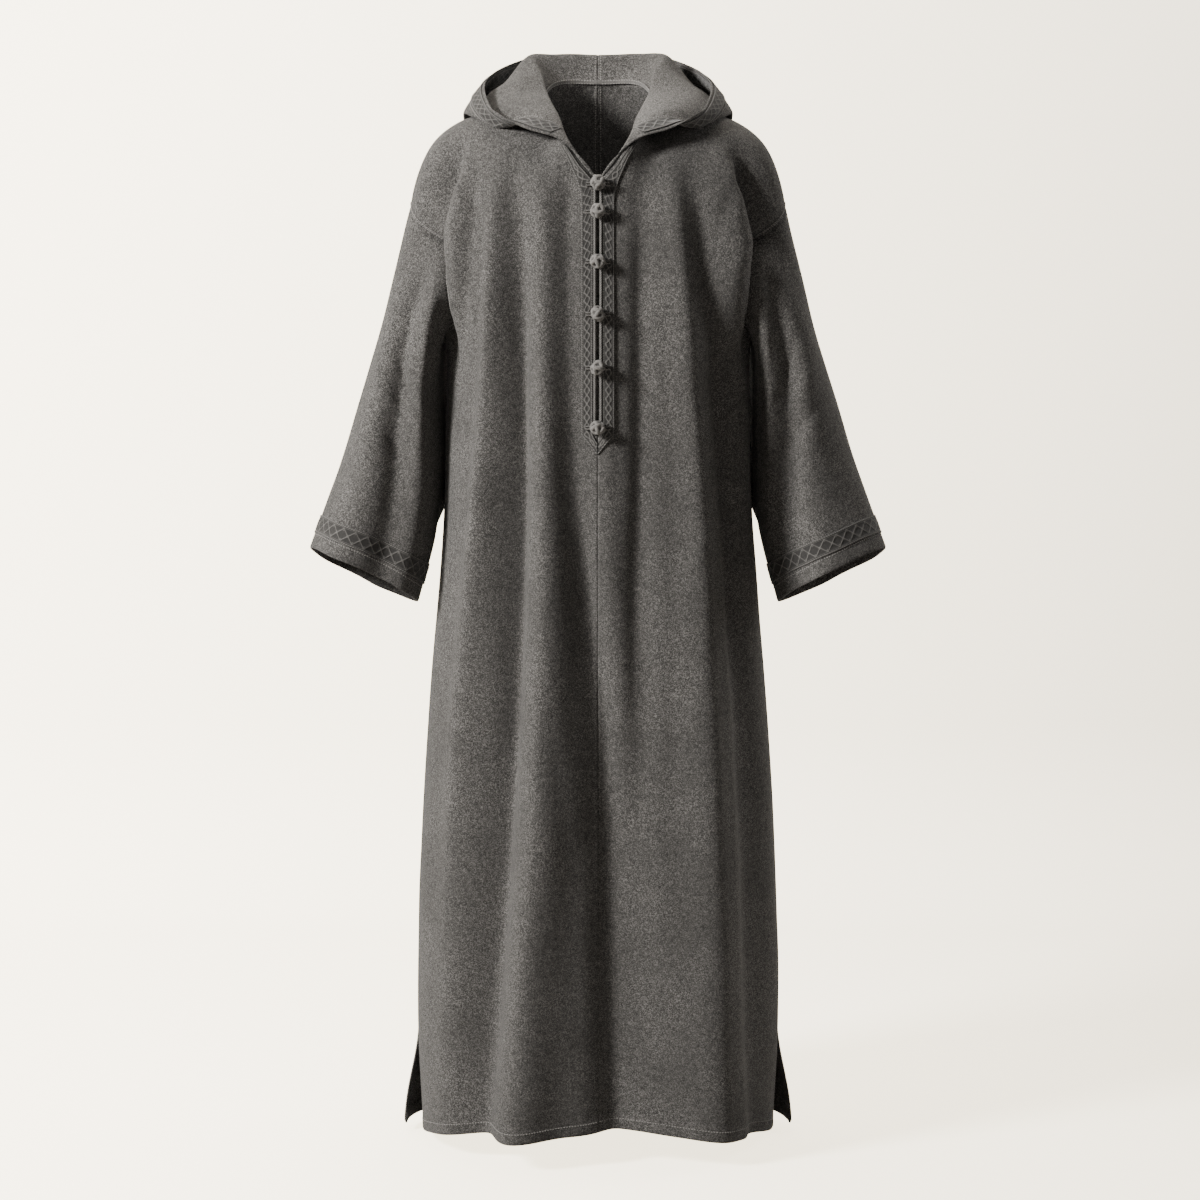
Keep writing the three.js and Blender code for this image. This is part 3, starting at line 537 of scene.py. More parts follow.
def sleeve_fold_push(folds, turn, along):
    """The sum of the folds that run along a sleeve, each a bell across the angle."""
    push = np.zeros_like(turn)
    keys = [0, 0.5, 1]
    for k in range(len(folds["wide"])):
        row = {name: values[k] for name, values in folds.items()}
        at = curve(keys, [row["at_armhole"], row["at_elbow"], row["at_cuff"]], along)
        out = curve(keys, [row["out_armhole"], row["out_elbow"], row["out_cuff"]], along)
        push += out * bump(turn - at, row["wide"])
    return push * ease(0, 0.25, along)


def sleeve_points(side, level, turn):
    """The middle of a sleeve's cloth, by level from 0 at the armhole to CUFF and by the angle
    round it: a smooth curve from the armhole's edge through the rings."""
    level, turn = np.broadcast_arrays(np.asarray(level, float), np.asarray(turn, float))
    turn = np.mod(turn, 360)
    start = armhole_start(side, turn)

    def ring(index):
        row = np.maximum(index - 1, 0)
        blend = SLEEVE["blend"][row][..., None]
        oval = start + (sleeve_oval(row, turn) - start) * blend
        return np.where((index == 0)[..., None], start, oval)

    p = through(ring, CUFF, level)
    push = sleeve_fold_push(SLEEVE_FOLDS[side], turn, level / CUFF)
    sine = np.sin(np.radians(turn))
    cosine = np.cos(np.radians(turn))
    p[..., 1] -= push * sine
    p[..., 0] += push * cosine * ease(-0.6, 0, cosine)
    return p


def cuff_levels(distances):
    """The sleeve's levels at distances from its end."""
    rise = SLEEVE["outer_z"][-1] - SLEEVE["outer_z"][-2]
    run = SLEEVE["outer_x"][-1] - SLEEVE["outer_x"][-2]
    return CUFF - np.asarray(distances, float) / math.hypot(rise, run)


# ---- The hood ----
# The hood is sewn on a little above the neckline. Along the V, whose upper end lies between two
# angles round the neck, it starts lower and further in.
NECK_SEAM_RISE = 2.8
V_ENDS = (24, 45)
V_SEAM_IN = 1.3
V_SEAM_LOWER = 1.5
RIM = 5
OVER_STEP = 0.05


def hood_controls():
    """Six points for each section: neck seam, roll, half way down inside, the bag's fold, half
    way up outside, and rim. Two more sections beyond the centre back mirror those before it."""
    seam = neck_points(HOOD["neck_angle"])
    along_v = 1 - ease(*V_ENDS, HOOD["neck_angle"])
    seam[:, 0] -= V_SEAM_IN * along_v
    seam[:, 2] += NECK_SEAM_RISE - V_SEAM_LOWER * along_v
    roll, fold, rim = (
        np.stack([HOOD[f"{name}_{axis}"] for axis in "xyz"], -1) for name in ("roll", "fold", "rim")
    )
    outwards = unit(fold * np.array([1, 1, 0.0]))
    inner = (roll + fold) / 2 + outwards * HOOD["inner_bulge"][:, None]
    inner[:, 2] += HOOD["inner_bulge"]
    outer = (fold + rim) / 2 + outwards * HOOD["outer_bulge"][:, None]
    controls = np.stack([seam, roll, inner, fold, outer, rim], 1)
    ghosts = controls[[HOOD_LAST - 1, HOOD_LAST - 2]] * np.array([-1, 1, 1.0])
    return np.concatenate([controls, ghosts])


HOOD_CONTROLS = hood_controls()


def hood_points(along, over):
    """along: 0 at the foot of the V to HOOD_LAST at the centre back. over: 0 at the neck seam,
    1 at the roll, 3 at the bag's fold and RIM at the rim. A smooth curve through each section's
    six points, and another through the sections."""
    along, over = np.broadcast_arrays(np.asarray(along, float), np.asarray(over, float))
    i = np.clip(np.floor(along).astype(int), 0, HOOD_LAST - 1)
    t = (along - i)[..., None]
    window = [
        through(lambda k, s=s: HOOD_CONTROLS[s, k], RIM, over)
        for s in (np.maximum(i - 1, 0), i, i + 1, i + 2)
    ]
    leave = (window[2] - window[0]) * np.where(i > 0, 0.5, 1.0)[..., None]
    arrive = (window[3] - window[1]) * 0.5
    return cubic(window[1], window[2], leave, arrive, t)


HOOD_BAND_REACH = HOOD_BAND_FROM_RIM + HOOD_BAND_WIDTH


def over_at_rim_distance(along, distance):
    """The section's parameter at a distance from the rim, for what runs along the rim. Where the
    section is too short, near the foot of the V, all distances shrink."""
    along, distance = np.broadcast_arrays(np.asarray(along, float), np.asarray(distance, float))
    overs = np.arange(RIM, 1.15, -OVER_STEP)
    lengths = lengths_along(hood_points(along[..., None], overs), axis=along.ndim)
    total = lengths[..., -1]
    wanted = distance * np.minimum(1, 0.9 * total / HOOD_BAND_REACH)
    index = np.clip((lengths < wanted[..., None]).sum(-1), 1, len(overs) - 1)
    before = np.take_along_axis(lengths, (index - 1)[..., None], -1)[..., 0]
    after = np.take_along_axis(lengths, index[..., None], -1)[..., 0]
    share = (wanted - before) / np.maximum(after - before, 1e-6)
    return RIM - OVER_STEP * (index - 1 + share)


# ---- Meshes ----
def grid_normals(grid, closed=False):
    """down x round at each place of a grid, from its neighbours."""
    down = np.gradient(grid, axis=0)
    if closed:
        round_ = np.roll(grid, -1, 1) - np.roll(grid, 1, 1)
    else:
        round_ = np.gradient(grid, axis=1)
    return unit(np.cross(down, round_))


def grid_faces(rows, columns, closed=False, offset=0, flip=False):
    """The four corners of every face of a grid, wound so that down x round faces out."""
    i, j = np.meshgrid(
        np.arange(rows - 1), np.arange(columns if closed else columns - 1), indexing="ij"
    )
    k = (j + 1) % columns
    corners = [i * columns + j, (i + 1) * columns + j, (i + 1) * columns + k, i * columns + k]
    faces = np.stack(corners, -1).reshape(-1, 4) + offset
    return faces[:, ::-1] if flip else faces


def make_mesh(name, points, faces, uv, side=1, relief=None):
    """A piece from points in millimetres, quads, and a UV for every point. side -1 mirrors it
    to -X, and turns its faces round again. relief says how far each point stands out of its
    own pattern, from 0 to 1, for the material, which paints shade where it is low and light
    where it is high."""
    points = mirrored(points, side) * MM
    faces = faces[:, ::-1] if side < 0 else faces
    mesh = bpy.data.meshes.new(name)
    mesh.vertices.add(len(points))
    mesh.vertices.foreach_set("co", points.astype(np.float32).ravel())
    mesh.loops.add(faces.size)
    mesh.loops.foreach_set("vertex_index", faces.astype(np.int32).ravel())
    mesh.polygons.add(len(faces))
    mesh.polygons.foreach_set("loop_start", np.arange(0, faces.size, 4, dtype=np.int32))
    mesh.polygons.foreach_set("use_smooth", np.ones(len(faces), dtype=bool))
    mesh.update(calc_edges=True)
    mesh.validate()
    layer = mesh.uv_layers.new(name="cloth")
    layer.data.foreach_set("uv", (uv * MM)[faces.ravel()].astype(np.float32).ravel())
    if relief is not None:
        height = mesh.attributes.new("relief", "FLOAT", "POINT")
        height.data.foreach_set("value", relief.astype(np.float32).ravel())
    piece = bpy.data.objects.new(name, mesh)
    bpy.context.scene.collection.objects.link(piece)
    return piece


def shell(name, outer, inner, closed=False, side=1):
    """A wall of cloth between an outer and an inner grid, closed round its edges."""
    rows, columns = outer.shape[:2]
    points = np.concatenate([outer.reshape(-1, 3), inner.reshape(-1, 3)])
    start = rows * columns
    at = np.arange(start).reshape(rows, columns)
    if closed:
        at = np.concatenate([at, at[:, :1]], 1)
    parts = [
        grid_faces(rows, columns, closed),
        grid_faces(rows, columns, closed, start, flip=True),
        rim_faces(at[0, ::-1], start),
        rim_faces(at[-1], start),
    ]
    if not closed:
        parts += [rim_faces(at[:, 0], start), rim_faces(at[::-1, -1], start)]
    across = lengths_along(outer, 1)
    down = lengths_along(outer, 0)
    uv = np.stack([across, -down], -1).reshape(-1, 2)
    return make_mesh(name, points, np.concatenate(parts), np.concatenate([uv, uv]), side)


def rim_faces(edge, start):
    """Faces from a line of the outer grid to the same line of the inner grid."""
    return np.stack([edge[:-1], edge[:-1] + start, edge[1:] + start, edge[1:]], -1)


def end_cap(edge):
    """Quads that fill an even number of points in a row, from both ends to the middle."""
    half = len(edge) // 2
    return np.array([[edge[k], edge[k + 1], edge[-k - 2], edge[-k - 1]] for k in range(half - 1)])


def strip(name, top, base, relief, side=1, closed=False):
    """A band with a modelled top and a plain underside: top is a grid of rows along the band,
    and base holds the two lower edges of each row."""
    rows, columns = top.shape[:2]
    points = np.concatenate([top.reshape(-1, 3), base.reshape(-1, 3)])
    start = rows * columns
    at = np.arange(start).reshape(rows, columns)
    low = start + np.arange(2 * rows).reshape(rows, 2)
    ends = [] if closed else [(0, 1), (rows - 1, -1)]
    if closed:
        at = np.concatenate([at, at[:1]])
        low = np.concatenate([low, low[:1]])

    def between(a, b):
        return np.stack([a[:-1], a[1:], b[1:], b[:-1]], -1).reshape(-1, 4)

    parts = [between(at[:, j], at[:, j + 1]) for j in range(columns - 1)]
    parts.append(between(low[:, 0], at[:, 0]))
    parts.append(between(at[:, -1], low[:, 1]))
    parts.append(between(low[:, 1], low[:, 0]))
    for row, way in ends:
        middle = np.concatenate([[low[row, 0]], at[row], [low[row, 1]]])
        parts.append(end_cap(middle)[:, ::way])
    across = lengths_along(top, 1)
    along = lengths_along(top, 0)
    uv = np.stack([across, along], -1).reshape(-1, 2)
    under = np.stack([across[:, [0, -1]], along[:, [0, -1]]], -1).reshape(-1, 2)
    # The underside and the sides take no relief, which the yarn shows as painted shade.
    heights = np.concatenate([relief.ravel(), np.zeros(2 * rows)])
    return make_mesh(
        name, points, np.concatenate(parts), np.concatenate([uv, under]), side, heights
    )


# ---- Relief of the cloth ----
def soft_waves(p, size=1.0):
    """The cloth is never quite even: the sum of four slow sine waves over the place, 80 to 200
    millimetres long and each half a millimetre high at most."""
    x, y, z = p[..., 0], p[..., 1], p[..., 2]
    waves = 0.5 * np.sin(x / 19 + z / 63 + 1.3) + 0.45 * np.sin(x / 31 - z / 47 + y / 38)
    waves += 0.35 * np.sin(x / 13 + y / 17 + z / 91 + 4.1) + 0.3 * np.sin(z / 29 - x / 55 + 2.2)
    return size * waves


def crease_push(u, v, rows):
    """Creases: each is a soft trough or ridge about a straight line from (u0, v0) to
    (u1, v1), with its depth and width, fading towards both ends."""
    push = np.zeros_like(u)
    for u0, v0, u1, v1, out, wide in rows:
        length = math.hypot(u1 - u0, v1 - v0)
        along = ((u - u0) * (u1 - u0) + (v - v0) * (v1 - v0)) / length
        across = ((u - u0) * (v1 - v0) - (v - v0) * (u1 - u0)) / length
        share = np.clip(along / length, 0, 1)
        beyond = np.maximum(np.maximum(-along, along - length), 0)
        swell = 0.35 + 0.65 * np.sin(np.pi * share)
        push += out * swell * bump(across, wide) * bump(beyond, 1.6 * wide)
    return push


# Creases of the front and the back by x and z, and of the sleeves by the angle round them and by
# their length, which counts as SLEEVE_RUN. Those of the sleeve at +X lie a little higher.
SLEEVE_RUN = 300
CREASE_SHIFT = 14
FRONT_CREASES = (
    (-205, -60, -150, -175, -2.2, 9),
    (-225, -105, -182, -230, 2.4, 10),
    (205, -70, 160, -180, -2.0, 9),
    (228, -118, 190, -235, 2.2, 10),
    (-60, -60, -48, -170, 1.6, 10),
    (62, -62, 52, -190, 1.5, 10),
    (-110, -45, -118, -170, -1.6, 12),
    (118, -50, 124, -190, -1.6, 12),
    (-190, -420, -150, -470, -1.8, 8),
    (-196, -480, -150, -560, 1.6, 10),
    (190, -430, 150, -500, -1.8, 8),
    (160, -560, 120, -640, 1.4, 12),
    (-60, -760, -30, -980, 1.6, 14),
    (70, -700, 60, -930, -1.6, 14),
)
BACK_CREASES = (
    (-180, -110, -120, -260, -2.4, 12),
    (180, -110, 122, -270, -2.2, 12),
    (-60, -120, -40, -300, 1.8, 12),
    (66, -130, 50, -320, 1.8, 12),
    (-150, -520, -90, -640, -1.8, 12),
    (150, -500, 100, -610, -1.8, 12),
)
SLEEVE_CREASES = (
    (60, 120, 120, 150, -2.4, 7),
    (48, 150, 110, 178, 2.0, 8),
    (52, 182, 118, 205, -2.2, 7),
    (200, 110, 260, 150, -2.6, 9),
    (205, 160, 262, 190, 2.2, 9),
    (290, 120, 340, 160, -2.0, 9),
    (75, 60, 110, 110, -1.8, 8),
)


def rounded_edge(distance, depth=1.0, width=1.3):
    """Cloth turned under at an edge: the outer face rolls in."""
    return -depth * bump(distance, width)


def topstitched(distance, rows, depth=0.8):
    """The thread pulls a small valley along each row of stitches, and the cloth between twin
    rows and beside them stands a little proud."""
    middle = sum(rows) / len(rows)
    puffed = 0.45 * depth * bump(distance - middle, 5.0)
    return puffed - depth * sum(bump(distance - row, 1.3) for row in rows)


# ---- Rows of stitches ----
STITCH_LENGTH = 2.9
STITCH_PITCH = 3.9
STITCH_WIDTH = 0.75
# The rings of one stitch: how far along it, how wide, and how far out of the cloth.
STITCH_RINGS = ((0.0, 0.5, -0.25), (0.5, 1.0, 0.16), (1.0, 0.5, -0.25))
sewn = []


def grid_line(points, normals, distance, wanted, rows=None, closed=False):
    """The line over a grid where a distance that grows down the columns has the wanted value,
    from one column to the next, with its normals."""
    if rows is not None:
        points, normals, distance = points[:, rows], normals[:, rows], distance[:, rows]
    index = np.clip((distance < wanted).sum(0), 1, len(distance) - 1)
    column = np.arange(distance.shape[1])
    before, after = distance[index - 1, column], distance[index, column]
    share = ((wanted - before) / np.maximum(after - before, 1e-6))[:, None]
    line = points[index - 1, column] * (1 - share) + points[index, column] * share
    facing = unit(normals[index - 1, column] * (1 - share) + normals[index, column] * share)
    if closed:
        line, facing = np.concatenate([line, line[:1]]), np.concatenate([facing, facing[:1]])
    return line, facing


def sew(side, *lines):
    """Lay stitches along lines: one every pitch, each at its place along the line."""
    for line, facing in lines:
        run = lengths_along(line)
        at = np.arange(STITCH_PITCH, run[-1] - STITCH_PITCH, STITCH_PITCH)
        if len(at) == 0:
            continue
        ends = [
            np.stack([np.interp(at + step, run, line[:, k]) for k in range(3)], -1)
            for step in (-STITCH_LENGTH / 2, STITCH_LENGTH / 2)
        ]
        out = unit(np.stack([np.interp(at, run, facing[:, k]) for k in range(3)], -1))
        sewn.append((ends, out, side))


def stitch_piece():
    """All stitches as one piece: each a bar of three four-sided rings, sunk at its ends."""
    ring = np.arange(4)
    following = (ring + 1) % 4
    quads = [
        np.stack([k + ring, k + following, k + 4 + following, k + 4 + ring], -1) for k in (0, 4)
    ]
    bar = np.concatenate([*quads, [[3, 2, 1, 0], [8, 9, 10, 11]]])
    corners = 4 * len(STITCH_RINGS)
    parts = []
    start = 0
    for (tail, head), out, side in sewn:
        across = np.cross(unit(head - tail), out)
        rings = []
        for share, size, lift in STITCH_RINGS:
            middle = tail + (head - tail) * share + out * lift
            for turn in np.pi / 2 * ring:
                spoke = across * math.cos(turn) + out * math.sin(turn)
                rings.append(middle + STITCH_WIDTH * size * spoke)
        points = mirrored(np.stack(rings, 1), side)
        faces = bar[:, ::-1] if side > 0 else bar
        every = corners * np.arange(len(points))[:, None, None] + faces[None] + start
        parts.append((points.reshape(-1, 3), every.reshape(-1, 4)))
        start += corners * len(points)
    points = np.concatenate([part[0] for part in parts])
    faces = np.concatenate([part[1] for part in parts])
    piece = make_mesh("seam_stitches", points, faces, points[:, [0, 2]], 1, np.ones(len(points)))
    return dress(piece, THREAD, "wool")


# Rows of stitches by how far they run from the cloth's edge, or from the hood's band.
SEAM_STITCHES = (3.0, 9.0)
CENTRE_STITCHES = (3.8,)
HOOD_SEAM_STITCHES = (3.6,)
BAND_STITCHES = 3.5
HEM_STITCHES = (15.0,)
CUFF_STITCHES = (19.5,)
# How far the panels stand over the sleeves at the armhole, and between which distances from
# their edge that ends.
LAP = 1.1
LAP_ENDS = (12, 18)
# How deep the hem is turned, and how much thicker that makes it outside and inside.
HEM_TURNED = 18.0
HEM_OUTSIDE = 0.6
HEM_INSIDE = 1.2
# The centre seams: the depth and width of the groove where the halves meet, how high the cloth
# beside it stands, how far off and how wide, and how far down the front's flattens.
SEAM_GROOVE = (0.9, 1.0)
SEAM_SWELL = 0.35
SWELL_FROM_SEAM = 3.4
SWELL_WIDTH = 2.6
FRONT_SEAM_FLATTENS = (900, 1150)
# The seam allowance pressed open inside: how thick it is, where it ends, and the depth and
# width of the groove between its halves.
PRESSED_THICK = 0.8
PRESSED_ENDS = (4.6, 5.4)
PRESSED_GROOVE = (0.9, 0.9)
# Armhole edges are cut close, and all others rolled: the depth and width of each.
CLOSE_EDGE = (0.5, 0.7)
ROLLED_EDGE = (1.0, 1.3)
PANEL_COLUMNS = {"front": 84, "back": 66}
FINE_SHARES = (0.002, 0.005, 0.009, 0.014, 0.02)


def panel_levels():
    """Rows of a body panel: closer together in the armhole and at the hem."""
    above = np.linspace(0, SHOULDER_TIP, 40, endpoint=False)
    armhole = np.linspace(SHOULDER_TIP, UNDERARM, 64, endpoint=False)
    near_hem = (0.0008, 0.002, 0.004, 0.0075, 0.012, 0.0145, 0.017, 0.0195, 0.0225)
    below = UNDERARM + (HEM - UNDERARM) * fine_near(140, end=near_hem)
    return np.concatenate([above, armhole, below])


def panel_angles(level, face, columns):
    """The angles of a panel's columns, gathered where the armhole cuts into it: 90 s - cut s^4
    for a share s of the way across."""
    share = fine_near(columns, start=FINE_SHARES, end=FINE_SHARES)
    cut = 90 - reach(level, face)
    return 90 * share - cut[:, None] * share**4


def sew_panel(side, face, levels, outer, inner, normals, to_edge, to_centre, to_hem):
    """The panel's rows of stitches: twin rows beside the armhole and the slit, one along the hem,
    and one beside the centre-back seam, on both faces of the cloth."""
    armhole = (levels > SHOULDER_TIP + 0.02) & (levels < UNDERARM - 0.02)
    slit = outer[:, 0, 2] < SLIT_TOP_Z
    flip = slice(None, None, -1) if face == "front" else slice(None)
    for rows in (armhole, slit):
        for row in SEAM_STITCHES:
            grids = (grid[rows][:, flip].swapaxes(0, 1) for grid in (outer, normals, to_edge))
            sew(side, grid_line(*grids, row))
    for row in HEM_STITCHES:
        sew(side, grid_line(outer, normals, -to_hem, -row))
    if face == "back":
        for row in CENTRE_STITCHES:
            for grid, way in ((outer, 1), (inner, -1)):
                grids = (g[:, ::-1].swapaxes(0, 1) for g in (grid, normals * way, to_centre))
                sew(side, grid_line(*grids, row))


def body_panel(side, word, face):
    """One half of the front or back: the body's cloth with seam edges, hem and creases."""
    levels = panel_levels()
    from_centre = panel_angles(levels, face, PANEL_COLUMNS[face])
    angle = from_centre if face == "front" else 180 - from_centre
    grid = body_points(side, levels[:, None], angle)
    on_seam = (levels <= SHOULDER_TIP) | (levels >= UNDERARM)
    grid[:, 0, 0] = -SEAM_OVERLAP / 2
    grid[on_seam, -1, 1] += (1 if face == "front" else -1) * SEAM_OVERLAP / 2
    if face == "back":
        grid = grid[:, ::-1]
    normals = grid_normals(grid)
    centre, edge = (0, -1) if face == "front" else (-1, 0)
    normals[:, centre, 0] = 0
    normals[on_seam, edge, 1] = 0
    normals = unit(normals)
    to_first = lengths_along(grid, 1)
    to_last = to_first[:, -1:] - to_first
    to_centre, to_edge = (to_first, to_last) if face == "front" else (to_last, to_first)
    down = lengths_along(grid, 0)
    to_hem = down[-1] - down
    placed = mirrored(grid, side)
    relief = soft_waves(placed) * ease(0, 25, to_edge) * ease(0, 25, down) * ease(0, 40, to_centre)
    creases = FRONT_CREASES if face == "front" else BACK_CREASES
    off_edges = ease(4, 26, to_edge) * ease(4, 26, to_centre) * ease(0, 20, down)
    relief += crease_push(placed[..., 0], placed[..., 2], creases) * off_edges
    middle = grid + normals * relief[..., None]
    in_armhole = ~on_seam[:, None]
    depth, width = (np.where(in_armhole, *pair) for pair in zip(CLOSE_EDGE, ROLLED_EDGE))
    edges = rounded_edge(to_edge, depth, width)
    edges += rounded_edge(to_hem) + topstitched(to_edge, SEAM_STITCHES)
    edges += in_armhole * LAP * (1 - ease(*LAP_ENDS, to_edge))
    if face == "back":
        edges += topstitched(to_centre, CENTRE_STITCHES)
    seam = rounded_edge(to_centre, *SEAM_GROOVE)
    seam += SEAM_SWELL * bump(to_centre - SWELL_FROM_SEAM, SWELL_WIDTH)
    edges += seam * (1 - 0.75 * ease(*FRONT_SEAM_FLATTENS, down) if face == "front" else 1)
    hem_outside = HEM_OUTSIDE * (1 - ease(HEM_TURNED - 3, HEM_TURNED, to_hem))
    edges += hem_outside + topstitched(to_hem, HEM_STITCHES)
    hem_inside = HEM_INSIDE * (1 - ease(HEM_TURNED - 1.5, HEM_TURNED, to_hem))
    pressed = PRESSED_THICK * (1 - ease(*PRESSED_ENDS, to_centre))
    pressed += rounded_edge(to_centre, *PRESSED_GROOVE)
    pressed -= topstitched(to_centre, CENTRE_STITCHES, -0.5)
    outer = middle + normals * (CLOTH / 2 + edges)[..., None]
    inner = middle - normals * (CLOTH / 2 + hem_inside + pressed)[..., None]
    sew_panel(side, face, levels, outer, inner, normals, to_edge, to_centre, to_hem)
    piece = shell(f"{face}_{word}_cloth", outer, inner, side=side)
    dress(piece, WOOL, "wool", f"{face}_{word}")
    width, length = (0.40, 1.50) if face == "front" else (0.38, 1.52)
    return piece


# ---- Sleeves ----
def sleeve_levels():
    """Rows of a sleeve: even, with closer ones at the armhole and at the cuff's edge."""
    near_start = (0.001, 0.003, 0.006, 0.01, 0.015)
    near_end = (0.001, 0.003, 0.006, 0.012, 0.02, 0.028, 0.032, 0.036, 0.04, 0.046)
    return CUFF * fine_near(150, start=near_start, end=near_end)


def sleeve_surface(side, levels, turns):
    """The sleeve's middle points with its own creases, and their normals."""
    grid = sleeve_points(side, levels[:, None], turns[None, :])
    normals = grid_normals(grid, closed=True)
    u = np.broadcast_to(np.mod(turns, 360)[None, :], grid.shape[:2])
    v = np.broadcast_to(SLEEVE_RUN * levels[:, None] / CUFF, grid.shape[:2])
    placed = mirrored(grid, side)
    shifted = v if side < 0 else v + CREASE_SHIFT
    fade = ease(20, 60, v) * (1 - ease(235, 262, v))
    relief = soft_waves(placed, 0.9) * fade + crease_push(u, shifted, SLEEVE_CREASES) * fade
    return grid + normals * relief[..., None], normals


SLEEVE_TURNS = 360 * (1 - np.arange(120) / 120)
# Each row behind the armhole: its step along the cloth and its step out of it.
ALLOWANCE = ((-6.0, -2.7), (-1.0, -2.5))


def seam_allowance(side, turns):
    """Rows of the sleeve's cloth behind the armhole: each a step from the panels' edge along the
    cloth and one in from it. Returns their points and the panels' normals there."""
    turn = np.mod(turns, 360)
    front, _, level, angle = armhole_place(turn)
    p = body_points(side, level, angle)
    inside = np.where(front, angle - 0.5, angle + 0.5)
    round_ = (body_points(side, level, inside) - p) * np.where(front, -1, 1)[:, None]
    down = body_points(side, level + 0.01, angle) - p
    normal = unit(np.cross(down, round_))
    away = unit(armhole_start(side, turn) - p)
    rows = [p + away * along + normal * out for along, out in ALLOWANCE]
    return np.stack(rows), np.broadcast_to(normal, (len(rows), *normal.shape))


def sleeve(side, word):
    """A tube of cloth from the armhole to the cuff, turned under at both ends."""
    levels = sleeve_levels()
    middle, normals = sleeve_surface(side, levels, SLEEVE_TURNS)
    down = lengths_along(middle, 0)
    to_cuff = down[-1] - down
    edges = rounded_edge(down, 1.6, 3.0) + rounded_edge(to_cuff)
    edges += topstitched(to_cuff, CUFF_STITCHES, 0.4)
    turned = 1.0 * (1 - ease(HEM_TURNED, HEM_TURNED + 3, to_cuff))
    hidden, out = seam_allowance(side, SLEEVE_TURNS)
    outer = middle + normals * (CLOTH / 2 + edges)[..., None]
    inner = middle - normals * (CLOTH / 2 + turned)[..., None]
    sew(side, *(grid_line(outer, normals, -to_cuff, -row, closed=True) for row in CUFF_STITCHES))
    outer = np.concatenate([hidden + out * CLOTH / 2, outer])
    inner = np.concatenate([hidden - out * CLOTH / 2, inner])
    piece = shell(f"sleeve_{word}_cloth", outer, inner, closed=True, side=side)
    dress(piece, WOOL, "wool", f"sleeve_{word}")
    return piece


# ---- The hood's cloth ----
# Rows of the hood that run along its rim, by their distance from it, where the bands lie.
RIM_DISTANCES = (27, 24, 20, 15, 10, 7, 5, 4, 3, 2, 1.2, 0.6, 0.0)


def hood_half(side, word):
    """Half of the hood thrown back: out from the neck seam, down into the bag, up to the rim."""
    along = HOOD_LAST * fine_near(96, end=(0.002, 0.005, 0.009))
    top = over_at_rim_distance(along, RIM_DISTANCES[0])
    upper = np.linspace(0, 1, 78, endpoint=False)[:, None] * top
    lower = over_at_rim_distance(along[None, :], np.array(RIM_DISTANCES)[:, None])
    over = np.concatenate([upper, lower])
    grid = hood_points(np.broadcast_to(along, over.shape), over)
    grid[:, -1, 0] = -SEAM_OVERLAP / 2
    normals = grid_normals(grid)
    normals[:, -1, 0] = 0
    normals = unit(normals)
    down = lengths_along(grid, 0)
    to_rim = down[-1] - down
    across = lengths_along(grid, 1)
    to_centre = across[:, -1:] - across
    placed = mirrored(grid, side)
    body = ease(2, 5, along)[None, :]
    relief = soft_waves(placed, 0.8) * ease(10, 40, down) * ease(26, 45, to_rim) * body
    relief = relief * ease(0, 30, to_centre)
    middle = grid + normals * relief[..., None]
    seam = rounded_edge(to_centre, *SEAM_GROOVE) + topstitched(to_centre, HOOD_SEAM_STITCHES, 0.4)
    edges = rounded_edge(to_rim, 0.8, 1.0) + seam * ease(3, 6, along)[None, :]
    outer = middle + normals * (CLOTH / 2 + edges)[..., None]
    inner = middle - normals * (CLOTH / 2 + edges)[..., None]
    beside_band = HOOD_BAND_REACH + BAND_STITCHES
    for face, way in ((outer, 1), (inner, -1)):
        sew(side, grid_line(face, normals * way, -to_rim, -beside_band, slice(30, -2)))
        lines = (g[:, ::-1].swapaxes(0, 1) for g in (face, normals * way, to_centre))
        sew(side, grid_line(*lines, CENTRE_STITCHES[0]))
    piece = shell(f"hood_{word}_cloth", outer, inner, side=side)
    dress(piece, WOOL, "wool", f"hood_{word}")
    return piece


# The neck tape: its width, how far above the neckline and inside it the tape lies, and the
# angle at which it begins.
TAPE_WIDTH = 6.0
TAPE_RISE = 2.0
TAPE_INSIDE = 3.4
TAPE_START = 84


def neck_tape(side, word):
    """A narrow tape sewn flat inside over the seam between the back and the hood, a little
    raised along its middle."""
    seam = neck_points(np.linspace(TAPE_START, 180, 160))
    seam[:, 2] += TAPE_RISE
    outwards = unit(seam * np.array([1, 1, 0.0]))
    share = np.linspace(0, 1, 8)
    rise = (0.5 - share) * TAPE_WIDTH
    flat = seam[:, None] + rise[None, :, None] * np.array([0, 0, 1.0])
    flat = flat - outwards[:, None] * TAPE_INSIDE
    flat[-1, :, 0] = 0.0
    puff = 0.9 - 0.5 * np.abs(2 * share - 1) ** 3
    top = flat - outwards[:, None] * puff[None, :, None]
    base = flat[:, [0, -1]]
    # Painted light on the raised middle, and painted shade towards the edges.
    relief = np.broadcast_to(0.45 + 0.2 * puff, top.shape[:2])
    piece = strip(f"neck_tape_{word}_band", top, base, relief, side=side)
    facing = -np.broadcast_to(outwards[:, None], top.shape)
    sew(side, (top[:, 1], facing[:, 1]), (top[:, -2], facing[:, -2]))
    return dress(piece, BRAID_YARN, "braid")


# ---- Materials ----
def new_group(name, inputs, outputs):
    """A shader group with named inputs and outputs: (name, kind, default) and (name, kind)."""
    tree = bpy.data.node_groups.new(name, "ShaderNodeTree")
    for label, kind, default in inputs:
        socket = tree.interface.new_socket(label, in_out="INPUT", socket_type=f"NodeSocket{kind}")
        if default is not None:
            socket.default_value = default
    for label, kind in outputs:
        tree.interface.new_socket(label, in_out="OUTPUT", socket_type=f"NodeSocket{kind}")
    start = tree.nodes.new("NodeGroupInput")
    end = tree.nodes.new("NodeGroupOutput")
    return tree, start, end


